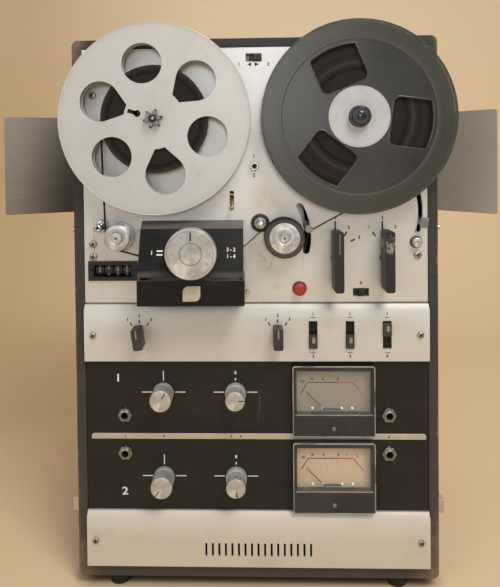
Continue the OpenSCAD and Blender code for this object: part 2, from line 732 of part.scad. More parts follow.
module chassis_frame() seated() color("darkgray") {
    difference() {
        sheet(panel_t, chassis_back) difference() {
            translate([-panel_half, lower_z]) square([2 * panel_half, deck_top - lower_z]);
            chassis_window(window_half, amp_z, amp_h);
            chassis_window(grille_half, lower_z, lower_h);
            deck_openings(chassis_grow);
            counter_opening(2 * chassis_grow);
            for (x = [-source_x, mode_x]) translate([x, slot_z]) circle(shaft_r + clear + chassis_grow);
            for (s = SCREWS) translate([s[0], s[1]]) circle(screw_r + clear / 2);
        }
        for (p = [supply_at, takeup_at]) rod(p, -eps, bearing_back, bearing_r - 2);
        rod(capstan_at, -eps, fly_y, capstan_tube_r - 1);
        for (x = [function_x, wind_x]) rod([x, lever_z], 0, fly_y, lever_bearing_r - 1);
    }
    for (p = [supply_at, takeup_at]) tube(p, -bearing_front, bearing_back, bearing_r, spindle_r + run);
    difference() {
        union() {
            rod(capstan_at, 0, fly_y - 2, capstan_tube_r);
            rod(capstan_at, -2, 0, capstan_bush_r);
        }
        rod(capstan_at, -2 - eps, fly_y, capstan_r + run);
    }
    for (x = [function_x, wind_x]) tube([x, lever_z], panel_t, 12, lever_bearing_r, lever_shaft_r + run);
    for (p = pivots) {
        rod(p[0], chassis_back, p[1] - clear, pivot_r + 2);
        rod(p[0], chassis_back, p[1] + arm_t + 1, pivot_r);
    }
    for (p = thrust_ends) rod(p, chassis_back, thrust_y, 4);
    arm(thrust_ends[0], thrust_ends[1], thrust_y, thrust_y + arm_t, 5);
    for (a = [45 : 90 : 315]) rod(motor_at + motor_post_r * unit(a + 29), chassis_back, motor_face, 3);
    for (p = board_posts) rod(p, chassis_back, board_y, 3);
    for (p = [speed_at, autostop_at]) difference() {
        sheet(chassis_back, chassis_back + 5) opening(p[0], p[1], slide_cover_l, slide_cover_h);
        sheet(chassis_back - eps, chassis_back + slide_base_t + 2 * clear)
            opening(p[0], p[1], slide_cover_l - 4, slide_base_h + 2 * clear);
    }
    for (s = [-1, 1]) difference() {
        translate([s * ear_at - toggle_x - ear_t / 2, chassis_back, toggle_z - ear_r])
            cube([ear_t, toggle_y + ear_r - chassis_back, 2 * ear_r]);
        bar_x(-case_w, case_w, toggle_y, toggle_z, toggle_pin_r + run);
    }
}

// Brushed metal deck
module deck_panel() seated() color("lightgray") sheet(0, panel_t) difference() {
    translate([-panel_half, deck_z]) square([2 * panel_half, deck_top - deck_z]);
    deck_openings(0);
    for (p = [supply_at, takeup_at]) translate(p) circle(bearing_r + clear);
    translate(capstan_at) circle(capstan_tube_r + clear);
    for (x = [function_x, wind_x]) translate([x, lever_z]) circle(lever_shaft_r + clear);
    counter_opening(chassis_grow);
    for (s = SCREWS) translate([s[0], s[1]]) circle(screw_r + clear);
}

// Profile of a pan with a bevelled top edge, in y and z, its sides drawn in by t
module pan_profile(z0, z1, t) polygon([
    [panel_t, z0 + t], [t - pan_proud, z0 + t], [t - pan_proud, z1 - pan_bevel - t / 2],
    [pan_bevel_d + t - pan_proud, z1 - t], [panel_t, z1 - t]]);
module pan(z0, z1) difference() {
    along_x(-panel_half, panel_half) pan_profile(z0, z1, 0);
    along_x(pan_sheet - panel_half, panel_half - pan_sheet) pan_profile(z0, z1, pan_sheet);
    slab(pan_sheet - panel_half, panel_half - pan_sheet, 0, panel_t + eps, z0 + pan_sheet, z1 - pan_sheet);
}
slots_at = [for (i = [0 : 2]) [slot_x + i * slot_pitch, slot_z]];

// Switch panel with three slots and two shaft holes
module control_panel() seated() color("lightgray") difference() {
    pan(control_z, control_top);
    sheet(-pan_proud - eps, panel_t - pan_sheet) for (p = slots_at) opening(p[0], p[1], slot_w, slot_h);
    for (x = [-source_x, mode_x]) rod([x, slot_z], -pan_proud - eps, panel_t, shaft_r + clear);
    for (s = SCREWS) if (s[2] > 0) rod([s[0], s[1]], -pan_proud - eps, panel_t, screw_r + clear);
}

// Lower panel with the slotted grille
module lower_panel() seated() color("tan") difference() {
    pan(lower_z, lower_top);
    sheet(-pan_proud - eps, panel_t - pan_sheet) for (i = [0 : grille_count - 1])
        opening((i - (grille_count - 1) / 2) * grille_pitch + 1, grille_z, grille_slot_w, grille_slot_h);
    for (s = SCREWS) if (s[2] > 0) rod([s[0], s[1]], -pan_proud - eps, panel_t, screw_r + clear);
}

// Black amplifier panel with the bright label strip across it
jacks_at = [for (s = [-1, 1], z = [strip_z + jack_up, strip_z - jack_down]) [s * jack_x, z]];
knobs_at = [for (x = [-mic_x, -line_x], z = [upper_knob_z, lower_knob_z]) [x, z]];
jack_sleeve_r = 5;
module amplifier_panel() seated() {
    color("black") sheet(0, panel_t) difference() {
        translate([-panel_half, amp_z]) square([2 * panel_half, amp_h]);
        for (z = meter_zs) translate([meter_x, z]) circle(barrel_r + clear);
        for (p = jacks_at) translate(p) circle(jack_sleeve_r + clear);
        for (p = knobs_at) translate(p) circle(ring_r + 2 * clear);
    }
    color("silver") slab(1.2 - strip_len / 2, 1.2 + strip_len / 2, -strip_t, 0,
        strip_z - strip_h / 2, strip_z + strip_h / 2);
}

// Slotted screws that hold the panels
module panel_screws() seated() color("silver") for (s = SCREWS) difference() {
    union() {
        rod([s[0], s[1]], -s[2] - screw_head_h, -s[2], s[2] > 0 ? panel_head_r : screw_head_r);
        rod([s[0], s[1]], -s[2], chassis_back, screw_r);
    }
    slab(s[0] - 5, s[0] + 5, -s[2] - screw_head_h - eps, -s[2] - screw_head_h / 2, s[1] - 0.5, s[1] + 0.5);
}

// Upper head cover: a shell with a sloping face, open at the back and below
cover_rim = 2.6;
module cover_block(t) intersection() {
    along_x(-case_w, case_w) polygon([
        [0, head_bottom_z - (t > 0 ? eps : 0)], [0, head_top_z - t],
        [t - head_depth_top, head_top_z - head_top_drop - t],
        [t * 1.1 - head_depth, head_bottom_z - (t > 0 ? eps : 0)]]);
    translate([0, 0, head_bottom_z - 5]) linear_extrude(head_top_z - head_bottom_z + 10) polygon([
        [t - head_x0 - cover_rim, 0], [t - head_x0, -head_depth_top], [t - head_x0, -head_depth],
        [-head_x1 - t, -head_depth], [-head_x1 - t, 0]]);
}
tape_slot_y = tape_w / 2 + 1.5;
track_hub_r = 12;
module head_cover() seated() color("black") difference() {
    union() {
        cover_block(0);
        rod([-track_x, track_z], track_t - track_front + clear, -head_depth_top, track_hub_r);
    }
    difference() {
        translate([0, eps, 0]) cover_block(head_wall);
        rod([-track_x, track_z], track_t - track_front, -head_depth_top - 4, track_hub_r);
    }
    slab(-head_x0 - 9, 9 - head_x0, -tape_front - tape_slot_y, tape_slot_y - tape_front,
        head_bottom_z - eps, post_z + 6);
    slab(-head_x1 - 9, 9 - head_x1, -tape_front - tape_slot_y, tape_slot_y - tape_front,
        head_bottom_z - eps, post_z + 20);
    rod([-track_x, track_z], -track_front, 0, shaft_r + run);
}

// Lower cover over the cross-field head, open at the back and above
cross_top = head_bottom_z - cross_gap;
module cross_field_cover() seated() color("black") difference() {
    slab(-head_x0 - 0.5, 1 - head_x1, -head_depth, 0, cross_top - cross_h, cross_top);
    slab(head_wall - head_x0 - 0.5, 1 - head_x1 - head_wall, head_wall - head_depth, eps,
        cross_top - cross_h + head_wall, cross_top + eps);
}

// Heads on their mounting plate, three above the tape and one below it
head_pitch = (posts_at[1][0] - posts_at[0][0] - 19) / 3;
head_r = head_pitch / 2 - 2;
head_mid = (posts_at[0][0] + posts_at[1][0]) / 2 + 4.8;
cross_head_r = 4;
head_gap = 0.6;
plate_t = 3;
head_front = tape_front + 5;
module tape_heads() seated() color("silver") {
    sheet(-plate_t, 0) translate([6 - head_x0, head_bottom_z + 2])
        square([head_x0 - head_x1 - 12, head_top_z - head_bottom_z - 8]);
    for (i = [-1 : 1])
        rod([head_mid + i * head_pitch, head_line_z + head_gap + head_r], -head_front, -plate_t, head_r);
    rod([head_mid + head_pitch / 2, head_line_z - head_gap - cross_head_r],
        -head_front, -plate_t, cross_head_r);
}

// Fixed posts: two tape guides, the guide roller's axle, a polished post, a stud and a small pin
axle_r = 3;
guide_back = 1;
guide_front = 21.5;
post_at = [18 - panel_half, deck_z + 74];
stud_at = [0.4, deck_z + 129.6];
small_pin_at = [-6.7, deck_z + 11.5];
module guide_posts() seated() color("silver") {
    for (p = posts_at) {
        rod(p, -head_front, -plate_t, post_r);
        rod(p, -head_front - 1, -head_front, post_r + 1.5);
    }
    rod(guide_at, -guide_front - clear, 0, axle_r);
    rod(guide_at, -guide_front - clear - 1.6, -guide_front - clear, axle_r + 2);
    rod(guide_at, clear - guide_back, 0, axle_r + 3);
    rod(post_at, -20, 0, 2.5);
    rod(post_at, -21.5, -20, 3.4);
    rod(stud_at, -5, 0, 3.9);
    rod(small_pin_at, -8, 0, 2);
}

// Counter frame with its window and its box behind the deck
drum_y = drum_r + 0.8;
drum_pin_r = 1.5;
drums_half = drum_count * drum_pitch / 2;
counter_frame_t = 2;
window_edge_h = 1;
module counter_block(half_l, half_h, y0, y1)
    slab(-counter_x - half_l, half_l - counter_x, y0, y1, counter_z - half_h, counter_z + half_h);
module counter_housing() seated() color("black") difference() {
    union() {
        counter_block(counter_w / 2, counter_h / 2, -counter_frame_t, 0);
        counter_block(counter_body_w / 2, counter_body_h / 2, 0, drum_y + drum_r + 3);
    }
    counter_block(drums_half + clear, drum_r - window_edge_h,
        -counter_frame_t - eps, drum_y + drum_r + clear);
    counter_block(drums_half + clear, drum_r + clear, 0, drum_y + drum_r + clear);
    bar_x(-counter_x - drums_half - 2, drums_half + 2 - counter_x, drum_y, counter_z, drum_pin_r + run);
}

// Figure drums on one shaft
drum_gap = 0.8;
module counter_drums() seated() color("white") translate([-counter_x - drums_half, 0, 0]) {
    for (i = [0 : drum_count - 1])
        bar_x(i * drum_pitch + drum_gap / 2, (i + 1) * drum_pitch - drum_gap / 2, drum_y, counter_z, drum_r);
    bar_x(clear - 2, 2 * drums_half + 2 - clear, drum_y, counter_z, drum_pin_r);
}

// Level meters: frame, dial, lower cover with the needle's pocket, barrel, pivot pin and zero screw
dial_half = 35;
dial_low = 12;
dial_high = meter_h / 2 - 4.4;
dial_back = 1.5;
pivot_low = 18;
pocket_half = 22;
pocket_low = meter_h / 2 - 9.4;
meter_skin = 3;
needle_pin_r = 1;
needle_angle = 135;
needle_front = 4.6;
zero_low = meter_h / 2 - 7.9;
module meter_slab(half, y0, y1, z0, z1) slab(meter_x - half, meter_x + half, y0, y1, z0, z1);
module meter(z) {
    difference() {
        sheet(-meter_front, 0) translate([meter_x - meter_w / 2, z - meter_h / 2])
            round_rect(meter_w, meter_h, 2);
        meter_slab(dial_half, -meter_front - eps, -dial_back, z - dial_low, z + dial_high);
        meter_slab(pocket_half, meter_skin - meter_front, -dial_back, z - pocket_low, z - dial_low + eps);
    }
    rod([meter_x, z], 0, barrel_l, barrel_r);
    rod([meter_x, z - pivot_low], meter_skin - meter_front + clear, -dial_back, needle_pin_r);
    rod([meter_x, z - zero_low], -meter_front - 0.6, -meter_front, 2.2);
}
module meters() seated() color("black") for (z = meter_zs) meter(z);

// Clear windows of the meters
glass_t = 1.2;
glass_in = 0.4;
glass_gap = 0.2;
module meter_windows() seated() color("lightblue", 0.4) for (z = meter_zs)
    meter_slab(dial_half - glass_gap, glass_in - meter_front, glass_in + glass_t - meter_front,
        z - dial_low + glass_gap, z + dial_high - glass_gap);

// Needle with its hub, standing at the left stop
module needle(z) {
    tube([meter_x, z - pivot_low], -needle_front - 0.2, -needle_front + 1, 2.4, needle_pin_r + run);
    translate([meter_x, 0, z - pivot_low]) rotate([0, -needle_angle, 0])
        slab(2, needle_l, -needle_front, -needle_front + 0.6, -0.4, 0.4);
}
module needle_left() seated() color("black") needle(meter_zs[0]);
module needle_right() seated() color("black") needle(meter_zs[1]);

// Phone jacks: hexagonal nut, sleeve and body, with the bore for a plug
nut_r = 6.93;
jack_front = 4.5;
jack_depth = 22;
module phone_jacks() seated() color("silver") for (p = jacks_at) difference() {
    union() {
        translate([p[0], 0, p[1]]) rotate([90, 0, 0]) cylinder(r = nut_r, h = 3, $fn = 6);
        rod(p, -jack_front, panel_t, jack_sleeve_r);
        rod(p, panel_t, jack_depth, jack_sleeve_r + 2);
    }
    rod(p, -jack_front - eps, jack_depth - 3, jack_r);
}

// Speakers behind the side openings, each a basket with its magnet, and its grille in the wall
speaker_flange = 4;
speaker_ring_t = 3;
grille_t = 1.5;
magnet_r = 26;
magnet_t = 14;
module speakers() seated() for (s = [-1, 1]) translate([s * half_in, speaker_y, speaker_z])
    rotate([0, -s * 90, 0]) {
        color("gray") rotate_extrude() polygon([
            [speaker_r + speaker_flange, 0], [speaker_r + speaker_flange, speaker_ring_t],
            [speaker_r - 3, speaker_ring_t], [magnet_r, speaker_d - magnet_t],
            [magnet_r, speaker_d], [0, speaker_d], [0, speaker_d - magnet_t - 3],
            [12, speaker_d - magnet_t - 3], [speaker_r - 6, 0]]);
        color("black") translate([0, 0, -side_wall + 1]) cylinder(r = speaker_r - glass_gap, h = grille_t);
    }

// Amplifier: circuit board, control bodies behind the panels, and the mains transformer
can_r = 11;
can_l = 42;
core_x = 60;
core_y = 110;
core_w = 80;
core_d = 60;
core_h = 68;
switch_body_t = panel_t - pan_inner - slide_base_t - 2 * clear;
module pot(p) difference() {
    rod(p, panel_t, panel_t + pot_l, pot_r);
    rod(p, panel_t - eps, panel_t + pot_neck, ring_r + run);
    rod(p, panel_t - eps, panel_t + pot_l - 4, shaft_r + run);
}
module amplifier_chassis() seated() {
    color("darkgreen") slab(-half_in + cleat + 1, half_in - cleat - 1, board_y, board_y + board_t,
        amp_z, amp_top);
    color("silver") for (p = knobs_at) pot(p);
    color("gray") {
        for (p = slots_at) slab(p[0] - 6, p[0] + 6, panel_t - switch_body_t, panel_t,
            p[1] - slot_h / 2 - 3, p[1] + slot_h / 2 + 3);
        for (x = [-source_x, mode_x]) tube([x, slot_z], pan_inner + clear, panel_t, 9, shaft_r + run);
        for (x = [-120, -85, 85, 120])
            rod([x, amp_top - 28], board_y + board_t, board_y + board_t + can_l, can_r);
    }
    color("dimgray") difference() {
        slab(core_x, core_x + core_w, core_y, core_y + core_d, inner_bottom, inner_bottom + core_h);
        for (x = [16, 48]) slab(core_x + x, core_x + x + 16, core_y - eps, core_y + core_d + eps,
            inner_bottom + 12, inner_bottom + core_h - 12);
    }
    color("orange") slab(core_x + 17, core_x + core_w - 17, core_y - 10, core_y + core_d + 10,
        inner_bottom + 13, inner_bottom + core_h - 13);
}

// Motor on four posts, with the bore for its shaft
module drive_motor() seated() color("gray") difference() {
    union() {
        rod(motor_at, motor_face, motor_face + 2, motor_post_r + 4);
        rod(motor_at, motor_face + 2, motor_face + motor_l, motor_r);
        rod(motor_at, motor_face + motor_l, motor_face + motor_l + 4, 12);
        rod(motor_at, motor_face - 4, motor_face, 8);
    }
    rod(motor_at, motor_face - 5, motor_face + 30, shaft_r + run);
}
module motor_pulley() seated() color("silver") {
    rod(motor_at, fly_y, fly_y + flywheel_t, pulley_r);
    rod(motor_at, fly_y + flywheel_t, motor_face + 25, shaft_r);
}

// Belt round both pulleys: its inner side follows arcs of even steps, off outside the pulleys
belt_along = angle_to(motor_at, capstan_at);
belt_lean = acos((pulley_r - flywheel_r) / norm(capstan_at - motor_at));
function belt_side(off) = concat(
    arc_points(motor_at, pulley_r + off, belt_along + belt_lean, belt_along + 360 - belt_lean, 8),
    arc_points(capstan_at, flywheel_r + off, belt_along - belt_lean, belt_along + belt_lean, 36));
module drive_belt() seated() color("black") sheet(belt_y, belt_y + belt_w) difference() {
    polygon(belt_side(clear + belt_t));
    polygon(belt_side(clear));
}

// Tape from the supply pack, past the heads and the capstan, to the take-up pack
module tape_run() seated() color("saddlebrown")
    sheet(-tape_front - tape_w / 2, tape_w / 2 - tape_front)
        polygon(concat(way_side(tape_t / 2), reversed(way_side(-tape_t / 2))));

// Turntable with its boss, shaft and collar; a fixed spindle carries the reel
collar_r = 7;
module turntable(p, front) {
    rod(p, -turntable_front, turntable_t - turntable_front, turntable_r);
    rod(p, turntable_t - turntable_front, -bearing_front - clear, 12);
    rod(p, -front, bearing_back + clear, spindle_r);
    rod(p, bearing_back + clear, bearing_back + 4, collar_r);
}
module supply_turntable() seated() color("gray") {
    turntable(supply_at, metal_front);
    rod(supply_at, -metal_front - 5, -metal_front, lock_r * 0.7);
    for (a = [12 : 60 : 312])
        rod(supply_at + 0.75 * lock_r * unit(a), -metal_front - 7, -metal_front, lock_r / 4);
}
module takeup_turntable() seated() color("black") {
    turntable(takeup_at, plastic_front);
    rod(takeup_at, -plastic_front - 7, -plastic_front, cap_r);
    rod(takeup_at, -plastic_front - 8.5, -plastic_front - 7, cap_r - 1.5);
}

// Flanges on a hub; the outline of a flange is the child
module reel(p, flange_t, hub_r, turn) translate([p[0], 0, p[1]]) rotate([0, -turn, 0]) {
    front = turntable_front + 2 * flange_t + reel_space;
    for (y = [-turntable_front - flange_t, -front]) sheet(y, y + flange_t) children();
    tube([0, 0], -front, -turntable_front, hub_r, spindle_r + 0.1);
}

// Metal reel with three round and three drop-shaped windows, one of them with a threading hole
flange_in = 9;
drop_lean = acos(window_r / (window_at - drop_tip_at));
module round_window() translate([window_at, 0]) circle(window_r);
module drop_window() polygon(concat([[drop_tip_at, 0]],
    arc_points([window_at, 0], window_r, drop_lean - 180, 180 - drop_lean, 40)));
thread_hole_r = 3.2;
thread_hole_at = 16;
thread_slit_w = 3.6;
module thread_hole() {
    translate([thread_hole_at, 0]) circle(thread_hole_r);
    translate([thread_hole_at, -thread_slit_w / 2])
        square([drop_tip_at + thread_slit_w - thread_hole_at, thread_slit_w]);
}
supply_turn = -18.5;
module supply_reel() seated() color("lightgray") difference() {
    reel(supply_at, metal_flange_t, metal_hub_r, supply_turn) difference() {
        circle(reel_r, $fn = 120);
        for (a = [0, 120, 240]) rotate(a) round_window();
        for (a = [60, 180, 300]) rotate(a) drop_window();
        circle(metal_hub_r - flange_in);
    }
    translate([supply_at[0], 0, supply_at[1]]) rotate([0, -supply_turn, 0])
        sheet(-metal_front - eps, 2 * metal_flange_t - metal_front) rotate(180) thread_hole();
}

// Plastic reel with three wide windows
module wide_window() intersection() {
    translate([wide_window_from, -wide_window_half])
        round_rect(wide_window_to - wide_window_from + 4, 2 * wide_window_half, 6);
    circle(wide_window_to, $fn = 120);
}
module takeup_reel() seated() color("darkolivegreen", 0.8)
    reel(takeup_at, plastic_flange_t, plastic_hub_r, -7.5) difference() {
        circle(reel_r, $fn = 120);
        for (a = [0, 120, 240]) rotate(a) wide_window();
        circle(plastic_hub_r - flange_in);
    }

// Wound tape as a solid ring on the reel's hub
pack_gap = 0.1;
module tape_pack(p, pack_r, hub_r)
    tube(p, -tape_front - tape_w / 2, tape_w / 2 - tape_front, pack_r, hub_r + pack_gap);
module supply_tape_pack() seated() color("saddlebrown") tape_pack(supply_at, supply_pack_r, metal_hub_r);
module takeup_tape_pack() seated() color("saddlebrown") tape_pack(takeup_at, takeup_pack_r, plastic_hub_r);

// Capstan with its flywheel, running in the capstan bearing
module capstan_flywheel() seated() color("silver") {
    rod(capstan_at, -capstan_front, thrust_y - clear, capstan_r);
    rod(capstan_at, fly_y, fly_y + flywheel_t, flywheel_r, $fn = 120);
    rod(capstan_at, fly_y - 2 + clear, fly_y, 7);
}

// Pinch arm behind the deck, with the roller's pin and its head
pinch_back = 3;
pinch_front = pinch_back + pinch_w;
module pinch_arm() seated() color("silver") {
    difference() {
        arm(pinch_pivot_at, pinch_at, pinch_arm_y, pinch_arm_y + arm_t, 6);
        rod(pinch_pivot_at, pinch_arm_y - eps, pinch_arm_y + arm_t + eps, pivot_r + run);
    }
    rod(pinch_at, -pinch_front - 1, pinch_arm_y + 1, pinch_pin_r);
    rod(pinch_at, clear - pinch_back, -0.4, 5);
    rod(pinch_at, -pinch_front - 1.6, -pinch_front - clear, 4);
}
pinch_disc_r = 13.8;
module pinch_roller() seated() color("dimgray") difference() {
    rod(pinch_at, -pinch_front, -pinch_back, pinch_r);
    rod(pinch_at, -pinch_front - eps, 1.5 - pinch_front, pinch_disc_r);
    rod(pinch_at, -pinch_front - eps, 0, pinch_pin_r + run);
}

// Guide roller with two flanges
module guide_roller() seated() color("silver") difference() {
    union() {
        rod(guide_at, -guide_front, -guide_back, guide_r);
        rod(guide_at, -guide_front, -tape_front - tape_w / 2 - 0.6, guide_flange_r - 1.5);
        rod(guide_at, tape_w / 2 + 0.6 - tape_front, -guide_back, guide_flange_r);
    }
    rod(guide_at, -guide_front - eps, 0, axle_r + run);
}

// Tension arm: a cranked plate behind the deck with its pin through the slot
tension_elbow = tension_at + 35 * unit(tension_rest - 35);
module tension_arm() seated() color("silver") {
    difference() {
        arm(tension_at, tension_elbow, tension_arm_y, tension_arm_y + 2, 5);
        rod(tension_at, tension_arm_y - eps, tension_arm_y + 3, pivot_r + run);
    }
    arm(tension_elbow, tension_pin_at, tension_arm_y, tension_arm_y + 2, 4);
    rod(tension_pin_at, -tape_front - 5, tension_arm_y, tension_pin_r);
    rod(tension_pin_at, -tape_front - 6.5, -tape_front - 5, tension_pin_r + 1.2);
}

// Pause lever: a plate behind the deck with its tab through the curved slot
pause_tab_l = 7.4;
pause_tab_t = 2;
pause_tab_half = 2.4;
pause_plate_half = 4.8;
pause_tab_front = turntable_front - pause_tab_t - 2 * clear;
module pause_lever() seated() color("gray") translate([pause_x, 0, pause_z]) rotate([0, pause_rest, 0]) {
    tab_from = pause_r - pause_t / 2;
    difference() {
        union() {
            rod([0, 0], pinch_arm_y, pinch_arm_y + arm_t, 8);
            slab(0, tab_from + pause_t, pinch_arm_y, pinch_arm_y + arm_t, -5, 5);
        }
        rod([0, 0], pinch_arm_y - eps, pinch_arm_y + arm_t + eps, pivot_r + run);
    }
    slab(tab_from, tab_from + pause_t, -pause_tab_front, pinch_arm_y, -pause_tab_half, pause_tab_half);
    slab(tab_from, tab_from + pause_tab_l, -pause_tab_front - pause_tab_t, -pause_tab_front,
        -pause_plate_half, pause_plate_half);
}

// Lever knobs with a long bar, for the tape functions and for winding
lever_neck = 7;
lever_hub_r = 4.2;
lever_base_gap = 0.4;
module lever(x) {
    sheet(-lever_front, -lever_neck) translate([x - lever_w / 2, lever_z - lever_l / 2])
        round_rect(lever_w, lever_l, 2.5);
    rod([x, lever_z], -lever_neck, -lever_base_gap, lever_hub_r);
    rod([x, lever_z], -lever_base_gap, 12 + clear, lever_shaft_r);
    rod([x, lever_z], 12 + clear, 14, lever_shaft_r + 2);
}
module function_lever() seated() color("dimgray") lever(function_x);
module wind_lever() seated() color("dimgray") lever(wind_x);

// Large round knob on the upper head cover
module track_knob() seated() color("silver") {
    rod([-track_x, track_z], -track_front, track_t - track_front, track_r);
    rod([-track_x, track_z], track_t - track_front, -head_depth_top + head_wall, shaft_r);
}

// Small slides on the deck, with a thumb piece of width w, standing shift right of the middle
function small_travel(w) = (small_slot_w - w) / 2 - clear;
module small_slide(p, w, shift) translate([p[0] + shift, 0, p[1]]) {
    slab(-w / 2, w / 2, -3, chassis_back + clear, clear - small_slot_h / 2, small_slot_h / 2 - clear);
    slab(-slide_base_l / 2, slide_base_l / 2, chassis_back + clear, chassis_back + clear + slide_base_t,
        -slide_base_h / 2, slide_base_h / 2);
}
module speed_slide() seated() color("black")
    small_slide(speed_at, speed_thumb_w, small_travel(speed_thumb_w));
module autostop_slide() seated() color("black") small_slide(autostop_at, autostop_thumb_w, 0);

// Vertical slides on the switch panel; rise is the thumb's place from the slot's middle
thumb_proud = 3.5;
module upright_slide(p, rise) translate([p[0], 0, p[1] + rise]) {
    slab(clear - slot_w / 2, slot_w / 2 - clear, -pan_proud - thumb_proud, pan_inner + clear,
        -thumb_h / 2, thumb_h / 2);
    slab(-slot_w / 2 - 1.5, slot_w / 2 + 1.5, pan_inner + clear, pan_inner + clear + slide_base_t,
        -thumb_h / 2 - 2, thumb_h / 2 + 2);
}
module stereo_switch() seated() color("gray") upright_slide(slots_at[0], -slide_travel / 2);
module monitor_switch() seated() color("gray") upright_slide(slots_at[1], -slide_travel / 2);
module power_switch() seated() color("gray") upright_slide(slots_at[2], slide_travel / 2);

// Bar knobs of the two rotary switches, turned by lean
module bar_knob(x, lean) translate([x, 0, slot_z]) rotate([0, -lean, 0]) {
    sheet(-pan_proud - bar_knob_front, -pan_proud - 0.4) translate([-bar_knob_w / 2, -bar_knob_l / 2])
        round_rect(bar_knob_w, bar_knob_l, 2);
    rod([0, 0], -pan_proud - 0.4, panel_t + 2, shaft_r);
}
module source_knob() seated() color("dimgray") bar_knob(-source_x, 7.6);
module mode_knob() seated() color("dimgray") bar_knob(mode_x, 0);

// Volume knobs; back is the distance of their lower face before the panel
knob_gap = 0.5;
shaft_end = panel_t + pot_l - 4 - clear;
pointer_w = 1.2;
module knob(p, back, r, turn) difference() {
    union() {
        rod(p, -knob_l, -back, r);
        rod(p, -back, shaft_end, shaft_r);
    }
    translate([p[0], 0, p[1]]) rotate([0, turn, 0])
        slab(-pointer_w / 2, pointer_w / 2, -knob_l - eps, 0.6 - knob_l, r * 0.35, r + eps);
}
module ring(p) difference() {
    union() {
        rod(p, -ring_l, -knob_gap, knob_r);
        rod(p, -knob_gap, panel_t + pot_neck - clear, ring_r);
    }
    rod(p, -ring_l - eps, panel_t + pot_neck + eps, shaft_r + run);
}
module mic_knob_left() seated() color("gray") knob(knobs_at[0], knob_gap, knob_r, 30);
module mic_knob_right() seated() color("gray") knob(knobs_at[1], knob_gap, knob_r, 218);
module line_knob_left() seated() color("gray") knob(knobs_at[2], ring_l + clear, knob_r - 1, 85);
module line_knob_right() seated() color("gray") knob(knobs_at[3], ring_l + clear, knob_r - 1, 172);
module line_ring_left() seated() color("dimgray") ring(knobs_at[2]);
module line_ring_right() seated() color("dimgray") ring(knobs_at[3]);

// Push buttons with a flange behind the chassis
module button(p, r, front) {
    rod(p, -front, chassis_back + clear, r);
    rod(p, chassis_back + clear, chassis_back + clear + 1.5, r + 1.8);
}
module record_button() seated() color("red") button(record_at, record_r, 7);
module start_button() seated() color("silver") button(start_at, start_r, 6);

// Small brass lever on a cross pin
module toggle_lever() seated() color("goldenrod") {
    toggle_pin_l = ear_at + ear_t / 2;
    toggle_hub_l = ear_at - ear_t / 2 - 2 * clear;
    bar_x(-toggle_x - toggle_pin_l, toggle_pin_l - toggle_x, toggle_y, toggle_z, toggle_pin_r);
    bar_x(-toggle_x - toggle_hub_l, toggle_hub_l - toggle_x, toggle_y, toggle_z, toggle_pin_r + 0.7);
    translate([-toggle_x, toggle_y, toggle_z]) rotate([90 + toggle_rest, 0, 0]) {
        cylinder(r = 1.2, h = toggle_l - 2);
        translate([0, 0, toggle_l - 2]) sphere(r = 2.2);
    }
}

// Reflector door on side s, standing open by turn
module door_outline() {
    translate([-door_w, door_corner]) square([door_w - knuckle_r - 1, door_h - 2 * door_corner]);
    translate([door_corner - door_w, 0]) square([door_w - door_corner - knuckle_r - 1, door_h]);
    for (z = [door_corner, door_h - door_corner])
        translate([door_corner - door_w, z]) circle(door_corner);
    translate([-knuckle_r - 2, bracket_h + clear]) square([knuckle_r + 2, knuckle_l]);
}
module reflector(s, turn) translate([s * door_x, hinge_y, door_z]) rotate([0, 0, s * turn]) difference() {
    union() {
        along_x(-door_t / 2, door_t / 2) door_outline();
        translate([0, 0, bracket_h + clear]) cylinder(r = knuckle_r, h = knuckle_l);
    }
    translate([0, 0, -eps]) cylinder(r = hinge_pin_r + run, h = door_h + 2 * eps);
}
module reflector_left() seated() color("silver") reflector(-1, door_open_left);
module reflector_right() seated() color("silver") reflector(1, door_open_right);

case_shell();
back_cover();
feet();
side_fittings();
chassis_frame();
deck_panel();
control_panel();
amplifier_panel();
lower_panel();
panel_screws();
head_cover();
cross_field_cover();
tape_heads();
guide_posts();
counter_housing();
counter_drums();
meters();
meter_windows();
phone_jacks();
speakers();
amplifier_chassis();
drive_motor();
drive_belt();
tape_run();
supply_turntable();
supply_reel();
supply_tape_pack();
takeup_turntable();
takeup_reel();
takeup_tape_pack();
capstan_flywheel();
motor_pulley();
pinch_arm();
pinch_roller();
guide_roller();
tension_arm();
pause_lever();
function_lever();
wind_lever();
track_knob();
speed_slide();
autostop_slide();
stereo_switch();
monitor_switch();
power_switch();
source_knob();
mode_knob();
mic_knob_left();
mic_knob_right();
line_knob_left();
line_knob_right();
line_ring_left();
line_ring_right();
needle_left();
needle_right();
record_button();
start_button();
toggle_lever();
reflector_left();
reflector_right();
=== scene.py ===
"""Looks of the reel-to-reel tape recorder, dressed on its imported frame."""
import json
from math import asin, cos, degrees, hypot, pi, radians, sin

import bpy
from mathutils import Matrix, Vector


